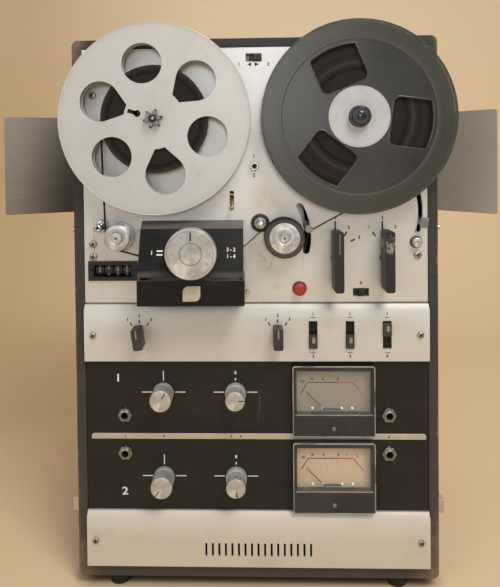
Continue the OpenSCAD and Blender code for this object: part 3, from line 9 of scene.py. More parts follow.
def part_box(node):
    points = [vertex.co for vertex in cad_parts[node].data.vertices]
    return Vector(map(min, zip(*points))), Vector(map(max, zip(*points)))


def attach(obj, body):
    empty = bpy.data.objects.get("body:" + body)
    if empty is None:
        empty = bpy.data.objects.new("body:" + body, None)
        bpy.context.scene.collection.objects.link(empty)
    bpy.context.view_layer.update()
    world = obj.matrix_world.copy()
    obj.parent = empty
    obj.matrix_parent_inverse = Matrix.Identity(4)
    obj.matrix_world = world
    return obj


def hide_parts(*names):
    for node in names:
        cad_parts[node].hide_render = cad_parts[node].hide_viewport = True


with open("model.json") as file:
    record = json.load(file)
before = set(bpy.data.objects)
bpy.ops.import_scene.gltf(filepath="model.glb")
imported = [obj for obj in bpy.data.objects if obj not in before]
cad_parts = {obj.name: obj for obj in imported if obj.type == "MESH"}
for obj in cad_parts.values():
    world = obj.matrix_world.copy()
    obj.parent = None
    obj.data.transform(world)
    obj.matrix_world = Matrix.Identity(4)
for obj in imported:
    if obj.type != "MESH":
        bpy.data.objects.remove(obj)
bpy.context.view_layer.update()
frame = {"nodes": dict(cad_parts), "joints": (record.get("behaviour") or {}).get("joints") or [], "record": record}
SCENE = bpy.context.scene
NODES = frame["nodes"]
PIVOT = {j["name"]: Vector(j["pos_m"]) for j in frame["joints"] if "pos_m" in j}
deck_low, deck_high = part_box("deck_panel")
MID_X = (deck_low.x + deck_high.x) / 2
FACE_Y = deck_low.y
CASE_HALF, CASE_BOTTOM, CASE_TOP = 0.173, 0.0098, 0.5268


def at(x, y, z):
    """Place of a point given in mm from the case's middle, the deck's face and the floor."""
    return Vector((MID_X + x / 1000, FACE_Y + y / 1000, z / 1000))


def axis_spot(name):
    """Middle x and z of a joint's axis, in the millimetres of at()."""
    p = PIVOT[name]
    return (p.x - MID_X) * 1000, p.z * 1000


def turned(yaw, pitch, roll):
    cy, sy = cos(yaw), sin(yaw)
    cp, sp = cos(pitch), sin(pitch)
    cr, sr = cos(roll), sin(roll)
    around_z = Matrix(((cy, -sy, 0), (sy, cy, 0), (0, 0, 1)))
    around_x = Matrix(((1, 0, 0), (0, cp, -sp), (0, sp, cp)))
    around_y = Matrix(((cr, 0, sr), (0, 1, 0), (-sr, 0, cr)))
    return around_z @ around_x @ around_y


def make_camera():
    look = turned(radians(1.69), radians(-1.11), radians(0.59))
    right, ahead, up = (look.col[i] for i in range(3))
    data = bpy.data.cameras.new("camera")
    data.sensor_width = 36
    data.lens = 36.49
    data.shift_x = 0.0307
    data.shift_y = -0.2138
    data.clip_end = 20
    cam = bpy.data.objects.new("camera", data)
    SCENE.collection.objects.link(cam)
    frame3 = Matrix((right, up, -ahead)).transposed()
    cam.matrix_world = Matrix.Translation(at(-4.1, -565.7, 414.8)) @ frame3.to_4x4()
    SCENE.camera = cam


def linear(code):
    """Linear colour of a hex code."""
    out = []
    for i in (1, 3, 5):
        c = int(code[i:i + 2], 16) / 255
        out.append(c / 12.92 if c <= 0.04045 else ((c + 0.055) / 1.055) ** 2.4)
    return (*out, 1)


SKIN = {}


class Surface:
    """A node material whose patterns are laid by object coordinates, in metres."""

    def __init__(self, name, code, rough=0.5, metal=0.0):
        self.mat = bpy.data.materials.new(name)
        SKIN[name] = self.mat
        self.mat.use_nodes = True
        self.tree = self.mat.node_tree
        self.shader = self.tree.nodes["Principled BSDF"]
        self.base = linear(code)
        self.set(Base_Color=self.base, Roughness=rough, Metallic=metal)
        self.place = self.node("ShaderNodeTexCoord").outputs["Object"]
        self.normal = None

    def node(self, kind, **values):
        made = self.tree.nodes.new(kind)
        for key, value in values.items():
            self.put(made.inputs[key.replace("_", " ")], value)
        return made

    def put(self, socket, value):
        if isinstance(value, bpy.types.NodeSocket):
            self.tree.links.new(value, socket)
        else:
            socket.default_value = value

    def set(self, **values):
        for key, value in values.items():
            self.put(self.shader.inputs[key.replace("_", " ")], value)

    def math(self, op, a, b=0.0, clamp=False):
        made = self.tree.nodes.new("ShaderNodeMath")
        made.operation = op
        made.use_clamp = clamp
        self.put(made.inputs[0], a)
        self.put(made.inputs[1], b)
        return made.outputs[0]

    def mul(self, a, b):
        return self.math("MULTIPLY", a, b)

    def plus(self, a, b, clamp=False):
        return self.math("ADD", a, b, clamp)

    def minus(self, a, b):
        return self.math("SUBTRACT", a, b)

    def gap(self, a, b):
        """How far two values lie apart."""
        return self.math("ABSOLUTE", self.minus(a, b))

    def axes(self):
        return list(self.node("ShaderNodeSeparateXYZ", Vector=self.place).outputs)

    def stretch(self, sx, sy, sz, lean=0.0):
        return self.node("ShaderNodeMapping", Vector=self.place, Rotation=(0, lean, 0),
                         Scale=(sx, sy, sz)).outputs[0]

    def noise(self, scale, detail, where=None, rough=0.5):
        return self.node("ShaderNodeTexNoise", Vector=where or self.place, Scale=scale, Detail=detail,
                         Roughness=rough).outputs[0]

    def step(self, value, low, high):
        """0 below low and 1 above high."""
        return self.node("ShaderNodeMapRange", Value=value, From_Min=low, From_Max=high).outputs[0]

    def mix(self, fac, a, b):
        made = self.tree.nodes.new("ShaderNodeMix")
        made.data_type = "RGBA"
        self.put(made.inputs[0], fac)
        self.put(made.inputs[6], a)
        self.put(made.inputs[7], b)
        return made.outputs[2]

    def far(self, x, z):
        """Distance from the line along Y through x and z, in metres."""
        off = self.node("ShaderNodeVectorMath", Vector=self.place)
        off.operation = "SUBTRACT"
        off.inputs[1].default_value = (x, 0, z)
        flat = self.node("ShaderNodeVectorMath")
        flat.operation = "MULTIPLY"
        self.tree.links.new(off.outputs[0], flat.inputs[0])
        flat.inputs[1].default_value = (1, 0, 1)
        size = self.tree.nodes.new("ShaderNodeVectorMath")
        size.operation = "LENGTH"
        self.tree.links.new(flat.outputs[0], size.inputs[0])
        return size.outputs["Value"]

    def spot(self, x, z, rim, core):
        """1 within core of the line along Y through x in mm and z in metres, 0 beyond rim."""
        return self.step(self.far(at(x, 0, 0).x, z), rim, core)

    def bump(self, height, depth):
        made = self.node("ShaderNodeBump", Height=height, Distance=depth)
        if self.normal:
            self.tree.links.new(self.normal, made.inputs["Normal"])
        self.normal = made.outputs[0]
        self.set(Normal=self.normal)

    def tint(self, *layers):
        """Lays colours over the base, each given as a mask, a hex code and its share where that isn't 1."""
        colour = self.base
        for mask, code, *share in layers:
            colour = self.mix(self.mul(mask, share[0]) if share else mask, colour, linear(code))
        self.set(Base_Color=colour)

    def span(self, mask, low, high):
        """From low to high as mask goes from 0 to 1."""
        return self.node("ShaderNodeMapRange", Value=mask, To_Min=low, To_Max=high).outputs[0]

    def uneven(self, mask, low, high):
        self.set(Roughness=self.span(mask, low, high))


def make_stage():
    paper = Surface("paper", "#F0D6AE", 0.9)
    height = paper.axes()[2]
    side = paper.gap(paper.axes()[0], 0.1)
    glow = paper.step(paper.noise(1.2, 1), 0.3, 0.8)
    low = paper.step(height, 0.75, -0.05)
    up = paper.step(height, 0.45, 1.1)
    beside = paper.gap(paper.axes()[0], MID_X)
    deep = paper.axes()[1]
    # Painted shadow of the case: the floor is tinted dark brown over its footprint.
    painted_shade_under = paper.mul(paper.step(beside, 0.182, 0.16), paper.step(deep, FACE_Y - 0.006, FACE_Y + 0.012))
    painted_shade_under = paper.mul(painted_shade_under, paper.step(deep, FACE_Y + 0.245, FACE_Y + 0.225))
    right = paper.step(paper.axes()[0], 0.1, 0.7)
    # Position tints paint the light's fall-off over the backdrop: darker to the sides, near the floor, at the left
    # and at the upper right, greyer higher up, and lighter low on the right and in soft glow patches.
    paper.tint((paper.step(side, 0.25, 0.9), "#CBA877", 0.3), (low, "#C39F6E", 0.3), (glow, "#F2DFBF", 0.1),
               (up, "#DCC9AE", 0.75), (paper.mul(up, right), "#C6AE8D", 0.45),
               (paper.step(paper.axes()[0], -0.12, -0.6), "#AD8350", 0.4),
               (paper.mul(paper.step(paper.axes()[0], 0.12, 0.5), low), "#F0D2AC", 0.35),
               (painted_shade_under, "#35241A", 0.85))
    paper.bump(paper.noise(900, 2), 0.0001)
    back = 1.0
    bend = 0.35
    line = [(-4, 0), (back - bend, 0)]
    line += [(back - bend + bend * sin(a * pi / 16), bend - bend * cos(a * pi / 16)) for a in range(1, 9)]
    line += [(back, 4)]
    verts = [(s * 4, y, z) for s in (-1, 1) for y, z in line]
    count = len(line)
    faces = [(i, i + 1, i + 1 + count, i + count) for i in range(count - 1)]
    mesh = bpy.data.meshes.new("backdrop")
    mesh.from_pydata(verts, [], faces)
    mesh.shade_smooth()
    mesh.materials.append(SKIN["paper"])
    drop = bpy.data.objects.new("backdrop", mesh)
    SCENE.collection.objects.link(drop)


def lamp(name, place, aim, size, power, colour):
    data = bpy.data.lights.new(name, "AREA")
    data.shape = "RECTANGLE"
    data.size, data.size_y = size
    data.energy = power
    data.color = colour
    made = bpy.data.objects.new(name, data)
    made.location = place
    made.rotation_euler = (Vector(aim) - Vector(place)).to_track_quat("-Z", "Y").to_euler()
    SCENE.collection.objects.link(made)


def make_lights():
    world = bpy.data.worlds.new("room")
    world.use_nodes = True
    world.node_tree.nodes["Background"].inputs[0].default_value = (0.93, 0.97, 1.0, 1)
    world.node_tree.nodes["Background"].inputs[1].default_value = 0.42
    SCENE.world = world
    lamp("key", (0.62, -1.25, 1.9), (0, 0, 0.3), (0.8, 0.8), 26, (1.0, 0.985, 0.965))
    lamp("fill", (-1.3, -1.6, 1.0), (0, 0, 0.25), (1.2, 1.2), 7, (0.96, 0.98, 1.0))
    lamp("front", (0.1, -2.4, 0.75), (0, 0, 0.35), (0.5, 0.5), 7, (0.97, 0.985, 1.0))
    SCENE.view_settings.view_transform = "Standard"


make_camera()
make_stage()
make_lights()


def skin(name, *look):
    """Makes a surface and hands it to a function that lays its pattern."""
    def dress(pattern):
        pattern(Surface(name, *look))
    return dress


def metal(name, code, rough, shine, grain=(30, 1800, 1800), dirt=0.25, dark="#8E867B"):
    s = Surface(name, code, rough, shine)
    fibre = s.noise(1.0, 4, s.stretch(*grain))
    blot = s.noise(38, 5, rough=0.6)
    wide = s.noise(7, 3)
    s.tint((s.step(fibre, 0.35, 0.75), "#FFFFFF", 0.16), (s.step(blot, 0.5, 0.75), dark, dirt),
           (s.step(wide, 0.45, 0.7), dark, dirt * 0.6))
    s.uneven(s.plus(s.mul(fibre, 0.6), s.mul(blot, 0.4)), rough - 0.1, rough + 0.12)
    s.bump(fibre, 0.00003)


def plastic(name, code, rough, fleck="#8A8378", amount=0.12, grain=1600, depth=0.00003, coat=0.0):
    s = Surface(name, code, rough)
    fine = s.noise(grain, 2)
    dust = s.noise(240, 6, rough=0.75)
    soft = s.noise(22, 3)
    s.tint((s.step(dust, 0.56, 0.8), fleck, amount), (s.step(soft, 0.4, 0.75), fleck, amount * 0.8))
    s.uneven(dust, rough - 0.08, rough + 0.14)
    if coat:
        s.set(Coat_Weight=coat, Coat_Roughness=0.12)
    s.bump(fine, depth)


def spun(name, code, rough=0.32):
    """Turned metal of a piece whose own origin is on its axis, with a painted bow-tie highlight and painted radial
    sheen.
    """
    s = Surface(name, code, rough, 0.5)
    out = s.far(0, 0)
    cut = s.math("SINE", s.mul(out, 5200))
    rings = s.noise(1.0, 3, s.node("ShaderNodeCombineXYZ", X=s.mul(out, 900.0)).outputs[0])
    blot = s.noise(120, 4)
    ray = s.node("ShaderNodeVectorMath", Vector=s.place)
    ray.operation = "NORMALIZE"
    slant = s.node("ShaderNodeSeparateXYZ", Vector=ray.outputs[0]).outputs
    painted_bowtie_sheen = s.math("ABSOLUTE", s.plus(s.mul(slant[0], 0.15), s.mul(slant[2], 0.99)))
    fan_streaks_and_sheen = s.noise(2.1, 3, s.node("ShaderNodeMapping", Vector=ray.outputs[0],
                                 Scale=(1.0, 0.0, 1.0)).outputs[0], 0.6)
    # The bow-tie mask paints a highlight above and below the axis and shade at the sides; the fan streaks are
    # machining streaks, partly painted as sheen.
    s.tint((s.step(rings, 0.35, 0.7), "#9A958D", 0.2), (s.step(fan_streaks_and_sheen, 0.5, 0.36), "#7C7770", 0.4),
           (s.step(painted_bowtie_sheen, 0.7, 0.25), "#86827C", 0.5), (s.step(painted_bowtie_sheen, 0.82, 0.97), "#FFFFFF", 0.95),
           (s.step(fan_streaks_and_sheen, 0.54, 0.66), "#FFFDF8", 0.5), (s.step(blot, 0.5, 0.8), "#6E675C", 0.12))
    s.uneven(rings, rough - 0.08, rough + 0.12)
    s.set(Anisotropic=0.75)
    tangent = s.node("ShaderNodeTangent")
    tangent.direction_type = "RADIAL"
    tangent.axis = "Y"
    s.set(Tangent=tangent.outputs[0])
    s.bump(cut, 0.000012)


@skin("cabinet_covering", "#353230", 0.55)
def covering(s):
    x, y, z = s.axes()
    pitch = 2 * pi / 0.0013
    waves = [s.math("SINE", s.mul(a, pitch)) for a in (x, y, z)]
    weave = s.plus(s.mul(waves[0], waves[2]), s.mul(waves[1], waves[2]))
    weave = s.plus(weave, s.mul(waves[0], waves[1]))
    grain = s.noise(420, 5, rough=0.7)
    patch = s.noise(26, 5, rough=0.65)
    side = s.gap(x, MID_X)
    edge = s.minus(CASE_HALF, side)
    ragged = s.mul(s.minus(patch, 0.5), 0.05)
    low = s.minus(z, CASE_BOTTOM)
    corner = s.plus(s.plus(edge, s.mul(low, 0.28)), ragged)
    top = s.plus(s.plus(edge, s.mul(s.minus(CASE_TOP, z), 0.4)), ragged)
    rim = s.plus(edge, s.mul(s.minus(grain, 0.5), 0.012))
    front = s.step(y, FACE_Y + 0.006, FACE_Y - 0.001)
    worn = s.mul(s.step(corner, 0.022, 0.004), front)
    worn_top = s.mul(s.step(top, 0.014, 0.002), front)
    worn_rim = s.mul(s.mul(s.step(rim, 0.0016, 0.0), s.step(patch, 0.5, 0.62)), front)
    s.tint((s.step(weave, -0.6, 0.9), "#6A645E", 0.26), (s.step(grain, 0.5, 0.75), "#2C2926", 0.3),
           (s.step(patch, 0.45, 0.75), "#51483F", 0.22), (s.step(z, 0.3, 0.02), "#4E4032", 0.4),
           (worn_rim, "#A08A6C", 0.7), (worn, "#8C6E4C", 0.75), (worn_top, "#9A8262", 0.6))
    s.uneven(grain, 0.42, 0.68)
    s.bump(weave, 0.00018)
    s.bump(grain, 0.00012)


@skin("back_board", "#54432F", 0.75)
def back_board(s):
    fibre = s.noise(500, 5, rough=0.7)
    soft = s.noise(9, 3)
    s.tint((s.step(fibre, 0.4, 0.7), "#6E5A42", 0.45), (s.step(soft, 0.45, 0.7), "#3A2D20", 0.35))
    s.bump(fibre, 0.00015)


@skin("deck_aluminium", "#D2CFCB", 0.42, 0.5)
def deck_metal(s):
    fibre = s.noise(1.0, 4, s.stretch(26, 900, 2600))
    blot = s.noise(26, 5, rough=0.62)
    wide = s.noise(6, 3)
    hair = s.noise(1.0, 1, s.stretch(420, 1, 9, 0.5))
    hair2 = s.noise(1.0, 1, s.stretch(14, 1, 520, -0.35))
    scratch = s.plus(s.step(hair, 0.735, 0.76), s.step(hair2, 0.74, 0.765), True)
    z = s.axes()[2]
    stain = s.mul(s.spot(13, 0.372, 0.022, 0.006), s.step(blot, 0.35, 0.6))
    stain2 = s.spot(21, 0.2915, 0.005, 0.0015)
    stain3 = s.mul(s.spot(44, 0.352, 0.03, 0.01), s.step(blot, 0.4, 0.62))
    low = s.step(z, 0.4, 0.28)
    s.tint((s.step(fibre, 0.35, 0.7), "#F1EEE8", 0.18), (s.step(wide, 0.42, 0.72), "#A8A29A", 0.16),
           (s.step(blot, 0.52, 0.78), "#A39A8C", 0.22), (low, "#B9AD9A", 0.12), (stain, "#B5A06E", 0.38),
           (stain2, "#C4BA84", 0.5), (stain3, "#9E8F74", 0.2), (scratch, "#7F776C", 0.35))
    s.uneven(s.plus(s.mul(fibre, 0.5), s.mul(blot, 0.5)), 0.34, 0.5)
    s.bump(fibre, 0.00003)
    s.bump(scratch, 0.00004)


@skin("panel_aluminium", "#C5C0B8", 0.5, 0.25)
def panel_metal(s):
    fibre = s.noise(1.0, 4, s.stretch(26, 900, 2600))
    blot = s.noise(30, 5, rough=0.62)
    speck = s.noise(700, 2)
    z = s.axes()[2]
    s.tint((s.step(z, 0.2, 0.07), "#C5B8A5", 0.7), (s.step(fibre, 0.35, 0.7), "#EFE8DC", 0.16),
           (s.step(blot, 0.52, 0.78), "#9C907D", 0.25), (s.step(speck, 0.7, 0.78), "#6E6455", 0.4))
    s.uneven(s.plus(s.mul(fibre, 0.5), s.mul(blot, 0.5)), 0.44, 0.58)
    s.bump(fibre, 0.00003)


@skin("amplifier_face", "#1D1916", 0.46)
def black_face(s):
    fine = s.noise(1500, 2)
    dust = s.noise(300, 6, rough=0.8)
    wipe = s.noise(1.0, 4, s.stretch(18, 40, 30, 0.7))
    arc = s.mul(s.step(s.noise(1.0, 2, s.stretch(260, 1, 22, 0.9)), 0.66, 0.72),
                s.spot(2, 0.166, 0.026, 0.008))
    s.tint((s.step(dust, 0.58, 0.8), "#5E564D", 0.2), (s.step(wipe, 0.45, 0.75), "#37302A", 0.28),
           (arc, "#7A7064", 0.3))
    s.set(Specular_IOR_Level=0.3)
    s.uneven(wipe, 0.38, 0.54)
    s.bump(fine, 0.00002)


@skin("head_cover_plastic", "#121110", 0.4)
def cover_plastic(s):
    dust = s.noise(260, 6, rough=0.78)
    scuff = s.noise(1.0, 4, s.stretch(30, 60, 160))
    z = s.axes()[2]
    up = s.node("ShaderNodeSeparateXYZ", Vector=s.node("ShaderNodeNewGeometry").outputs["Normal"]).outputs[2]
    # Faces that point up are painted light brown-grey, a painted reflection of the backdrop; the lighter band
    # along the lower lip is scuffing.
    painted_sheen_top = s.step(up, 0.6, 0.9)
    lower_lip = s.mul(s.step(s.gap(z, 0.3105), 0.004, 0.001), s.step(scuff, 0.35, 0.6))
    s.tint((s.step(dust, 0.58, 0.8), "#5E574F", 0.16), (s.step(scuff, 0.5, 0.75), "#453F3A", 0.16),
           (lower_lip, "#6D6055", 0.35), (painted_sheen_top, "#6F675D", 0.8))
    s.uneven(scuff, 0.28, 0.46)
    s.set(Specular_IOR_Level=0.22)
    s.bump(dust, 0.00002)


@skin("tape_brown", "#1F1A17", 0.55)
def tape_brown(s):
    left = s.far(PIVOT["supply_spin"].x, PIVOT["supply_spin"].z)
    right = s.far(PIVOT["takeup_spin"].x, PIVOT["takeup_spin"].z)
    out = s.math("MINIMUM", left, right)
    turns = s.noise(1.0, 4, s.node("ShaderNodeCombineXYZ", X=s.mul(out, 700.0)).outputs[0])
    band = s.noise(1.0, 2, s.node("ShaderNodeCombineXYZ", X=s.mul(out, 130.0)).outputs[0])
    s.tint((s.step(turns, 0.4, 0.7), "#332A25", 0.4), (s.step(band, 0.52, 0.57), "#0E0B0A", 0.85),
           (s.step(band, 0.45, 0.39), "#453A33", 0.4))
    s.uneven(turns, 0.5, 0.75)
    s.set(Specular_IOR_Level=0.15)
    s.bump(turns, 0.0001)


@skin("reel_metal", "#BEBBB7", 0.45, 0.3)
def reel_metal(s):
    blot = s.noise(42, 6, rough=0.66)
    wide = s.noise(11, 4)
    fine = s.noise(520, 3)
    out = s.far(PIVOT["supply_spin"].x, PIVOT["supply_spin"].z)
    worn = s.step(s.gap(out, 0.0868), 0.003, 0.0)
    s.tint((s.step(blot, 0.46, 0.72), "#AFA79C", 0.4), (s.step(wide, 0.42, 0.7), "#B9B1A6", 0.28),
           (s.step(fine, 0.66, 0.8), "#8C8479", 0.35), (worn, "#9E968B", 0.18))
    s.uneven(blot, 0.33, 0.56)
    s.bump(fine, 0.00003)
    s.bump(blot, 0.00005)


@skin("reel_plastic", "#2C2A25", 0.28)
def reel_plastic(s):
    out = s.far(PIVOT["takeup_spin"].x, PIVOT["takeup_spin"].z)
    smear = s.noise(14, 5, rough=0.6)
    dust = s.noise(420, 5, rough=0.8)
    # Beyond the tape pack the flange is more see-through and is painted lighter, standing for light from the deck
    # behind it.
    free = s.step(out, 0.069, 0.0715)
    edge = s.step(out, 0.0868, 0.0884)
    s.tint((free, "#403F35"), (s.step(smear, 0.4, 0.7), "#55554D", 0.3),
           (s.step(dust, 0.6, 0.8), "#8A887D", 0.25), (edge, "#55574A", 0.4))
    s.uneven(smear, 0.2, 0.38)
    s.set(Alpha=s.span(free, 0.88, 0.7))
    s.bump(dust, 0.00002)


@skin("meter_clear", "#F3F1EA", 0.06)
def clear(s):
    haze = s.noise(60, 5, rough=0.7)
    s.set(Alpha=s.span(haze, 0.02, 0.07))
    s.uneven(haze, 0.03, 0.12)
    s.bump(haze, 0.00002)


@skin("circuit_parts", "#8C8A84", 0.45)
def circuit(s):
    x, y, z = s.axes()
    board_low = FACE_Y + 0.0399
    fine = s.noise(300, 4)
    tracks = s.step(s.noise(90, 1, s.stretch(1.0, 1.0, 3.0)), 0.5, 0.53)
    board = s.mul(s.step(y, board_low - 0.0002, board_low),
                  s.step(y, board_low + 0.0018, board_low + 0.0017))
    cans = s.mul(s.step(y, board_low + 0.0018, board_low + 0.0019), s.step(z, 0.12, 0.121))
    iron = s.mul(s.step(y, FACE_Y + 0.09, FACE_Y + 0.091), s.step(z, 0.1, 0.099))
    coil = s.mul(iron, s.step(s.gap(x, at(100, 0, 0).x), 0.0235, 0.0233))
    s.tint((board, "#3F5A34"), (s.mul(board, tracks), "#5E7A44"), (cans, "#3B4C63"), (iron, "#3C3936"),
           (coil, "#8A6A3A"), (s.step(fine, 0.5, 0.8), "#55504A", 0.3))
    s.bump(fine, 0.00005)


@skin("reflector_metal", "#857C72", 0.42, 0.35)
def reflector(s):
    x, _, z = s.axes()
    wide = s.noise(9, 4)
    hair = s.noise(1.0, 3, s.stretch(40, 40, 900))
    dots = s.noise(260, 5, rough=0.8)
    is_left = s.step(x, 0.0, -0.001)
    inner = s.step(x, -0.246, -0.2)
    high = s.step(s.plus(z, s.mul(x, -0.3)), 0.44, 0.52)
    # The flaps share one metal: the right flap is painted much lighter, and the left flap darker towards the
    # cabinet and lighter high up, as painted light and shade; the noise tints are wear and dots.
    s.tint((s.step(wide, 0.4, 0.7), "#756C61", 0.25), (s.step(hair, 0.5, 0.75), "#A9A196", 0.2),
           (s.step(dots, 0.6, 0.8), "#4F483F", 0.25), (s.mul(inner, is_left), "#4B433A", 0.75),
           (s.mul(high, is_left), "#A79E92", 0.4), (s.step(x, 0.1, 0.12), "#D6CBBE", 0.85))
    s.uneven(wide, 0.34, 0.52)
    s.bump(dots, 0.00003)


@skin("lever_grey", "#131312", 0.42)
def lever_grey(s):
    dust = s.noise(300, 6, rough=0.8)
    scrape = s.noise(1.0, 6, s.stretch(420, 60, 160, 0.4), 0.7)
    near = s.spot(123, 0.332, 0.0165, 0.004)
    spot = s.step(s.plus(scrape, s.mul(near, 0.3)), 0.75, 0.79)
    s.tint((s.step(dust, 0.55, 0.8), "#5C5952", 0.2), (s.mul(spot, near), "#A39D93", 0.6))
    s.uneven(dust, 0.34, 0.58)
    s.bump(dust, 0.00003)


@skin("turntable_grey", "#77746E", 0.4)
def turntable(s):
    """Grey casting whose lock is black."""
    lock = s.step(s.far(0, 0), 0.0104, 0.0101)
    dust = s.noise(260, 5, rough=0.75)
    s.tint((s.step(dust, 0.5, 0.8), "#55524C", 0.25), (lock, "#1B1917"))
    s.uneven(dust, 0.34, 0.52)
    s.bump(dust, 0.00002)


@skin("slide_grey", "#403D38", 0.4)
def slide(s):
    """Worn thumb piece on a slide whose base behind the panel is painted near black, as the shade in the slot."""
    y = s.axes()[1]
    # The base behind the panel face is painted near black: painted shade in the slot.
    painted_shade_under = s.step(y, FACE_Y - 0.0042, FACE_Y - 0.0038)
    dust = s.noise(300, 5, rough=0.75)
    s.tint((s.step(dust, 0.5, 0.8), "#6B675F", 0.3), (painted_shade_under, "#060505"))
    s.uneven(painted_shade_under, 0.36, 0.9)
    s.set(Specular_IOR_Level=0.3)
    s.bump(dust, 0.00002)


plastic("foot_rubber", "#080706", 0.85, amount=0.03, grain=900, depth=0.0001)
metal("fitting_steel", "#C9C5BC", 0.28, 0.9, dirt=0.3)
metal("chassis_steel", "#8F8E86", 0.45, 0.6, (60, 60, 900), dirt=0.3)
metal("screw_steel", "#A8A196", 0.32, 0.9, (900, 900, 900), dirt=0.4)
metal("head_metal", "#B5B0A6", 0.3, 0.9, dirt=0.15)
metal("post_steel", "#B4B1AB", 0.2, 0.95, (700, 700, 700), dirt=0.25)
plastic("counter_black", "#100F0D", 0.5, amount=0.08)
plastic("figure_white", "#1D1A18", 0.5)
plastic("meter_black", "#1B1917", 0.42, amount=0.16)
metal("jack_chrome", "#96918A", 0.3, 0.95, (900, 900, 900), dirt=0.6, dark="#4E473E")
plastic("speaker_basket", "#3B3936", 0.55)
plastic("motor_grey", "#73726D", 0.42)
plastic("belt_rubber", "#1C1B1A", 0.6)
plastic("turntable_black", "#080707", 0.24, amount=0.06, coat=0.35)
metal("flywheel_steel", "#A7A39A", 0.3, 0.9)
metal("arm_steel", "#7C7870", 0.36, 0.75, dirt=0.4, dark="#4A453E")
plastic("roller_rubber", "#2E2C29", 0.6, amount=0.2, grain=700, depth=0.00008)
metal("roller_steel", "#C3BFB6", 0.26, 0.92, (500, 500, 500))
metal("knob_metal", "#C6C1B8", 0.34, 0.85, (300, 300, 300), dirt=0.2)
plastic("slide_black", "#1E1C1A", 0.4)
plastic("bar_knob_grey", "#292725", 0.36)
metal("ring_grey", "#8D8982", 0.36, 0.8, (300, 300, 300))
plastic("needle_black", "#2C2825", 0.5)
plastic("button_red", "#A91C1D", 0.34, "#6E1413", 0.35, coat=0.25)
metal("button_metal", "#BBB6AC", 0.3, 0.85, (400, 400, 400))
metal("lever_brass", "#B7975A", 0.34, 0.9, (400, 400, 400), dark="#5A4526", dirt=0.4)


WELD_WITHIN = 0.000002


def weld(obj):
    obj.modifiers.new("weld", "WELD").merge_threshold = WELD_WITHIN


def bevel(obj, width, segments, angle, harden):
    """Rounds the edges sharper than an angle, by a width in mm."""
    edge = obj.modifiers.new("edge", "BEVEL")
    edge.width = width / 1000
    edge.segments = segments
    edge.limit_method = "ANGLE"
    edge.angle_limit = radians(angle)
    edge.harden_normals = harden


def dress_nodes():
    slot_of = {p["node"]: p["material_slot"] for p in frame["record"]["subparts"]}
    soft_edge = {"case_shell": 1.2, "head_cover": 0.5, "cross_field_cover": 0.6, "function_lever": 0.8,
                 "wind_lever": 0.8, "source_knob": 0.6, "mode_knob": 0.6, "control_panel": 0.4,
                 "lower_panel": 0.4, "meters": 0.3, "feet": 1.0, "takeup_turntable": 0.5}
    for name, obj in NODES.items():
        mesh = obj.data
        mesh.materials.clear()
        mesh.materials.append(SKIN[slot_of[name]])
        for face in mesh.polygons:
            face.material_index = 0
        if "custom_normal" in mesh.attributes:
            mesh.attributes.remove(mesh.attributes["custom_normal"])
        mesh.shade_smooth()
        weld(obj)
        if name in ("tape_run", "drive_belt"):
            continue
        flat = obj.modifiers.new("flat", "DECIMATE")
        flat.decimate_type = "DISSOLVE"
        flat.angle_limit = radians(0.4)
        bevel(obj, soft_edge.get(name, 0.25), 2, 40, True)


# A piece's home is the body it rides on and its material slot.
DECK = ("cabinet", "deck_aluminium")
PANEL = ("cabinet", "panel_aluminium")
FACE = ("cabinet", "amplifier_face")
COVER = ("cabinet", "head_cover_plastic")
COUNTER = ("cabinet", "counter_black")
METER = ("cabinet", "meter_black")
POST = ("cabinet", "post_steel")
CHASSIS = ("cabinet", "chassis_steel")
JACK = ("cabinet", "jack_chrome")
SCREW = ("cabinet", "screw_steel")
SPEAKER = ("cabinet", "speaker_basket")
BACK = ("cabinet", "back_board")
SUPPLY = ("supply", "reel_metal")
LOCK = ("supply", "turntable_grey")
TAKEUP = ("takeup", "reel_plastic")
TRACK = ("track_knob", "knob_metal")
PINCH_ARM = ("pinch_arm", "arm_steel")

# Places read off the front, in the millimetres of at(): x and z, or y for a front.
SUPPLY_FRONT = -20.8
TAKEUP_FRONT = -21.6
PANEL_FRONT = -6.0
ROW_Z = 245.7
ROTARY_X = (-110.2, 21.0)
SWITCHES = ("stereo_switch", "monitor_switch", "power_switch")
FIRST_SWITCH_X = 54.3
SWITCH_PITCH = 34.7
KNOB_X = (-88.8, -19.6)
KNOB_Z = (189.0, 107.8)
METER_X = 73.0
METER_Z = (183.35, 110.45)
JACKS = ((-126, 167.5), (-126, 130.7), (126, 167.5), (126, 130.7))
START_AT = (152.5, 332.3)
RECORD_AT = (42.4, 288.6)
POST_AT = (-145.3, 349.7)
STUD_AT = (0.4, 405.3)
SOCKET_Z = 64


def add(name, verts, faces, skin, home, centre=None, smooth=False, soft=0.0):
    """A piece from points in mm: x, y and z of at(), or from centre's x and z where it is given."""
    mesh = bpy.data.meshes.new(name)
    if centre is None:
        spots = [at(*v) for v in verts]
        place = Vector((0, 0, 0))
    else:
        spots = [Vector(v) / 1000 for v in verts]
        place = at(centre[0], 0, centre[1]) if len(centre) == 2 else at(*centre)
    mesh.from_pydata(spots, [], faces)
    mesh.validate()
    if smooth:
        mesh.shade_smooth()
    mesh.materials.append(SKIN[skin])
    obj = bpy.data.objects.new(name, mesh)
    obj.location = place
    SCENE.collection.objects.link(obj)
    if smooth:
        mesh.set_sharp_from_angle(angle=radians(38))
    if soft:
        bevel(obj, soft, 3, 35, smooth)
    body, slot = home
    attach(obj, body)
    return obj


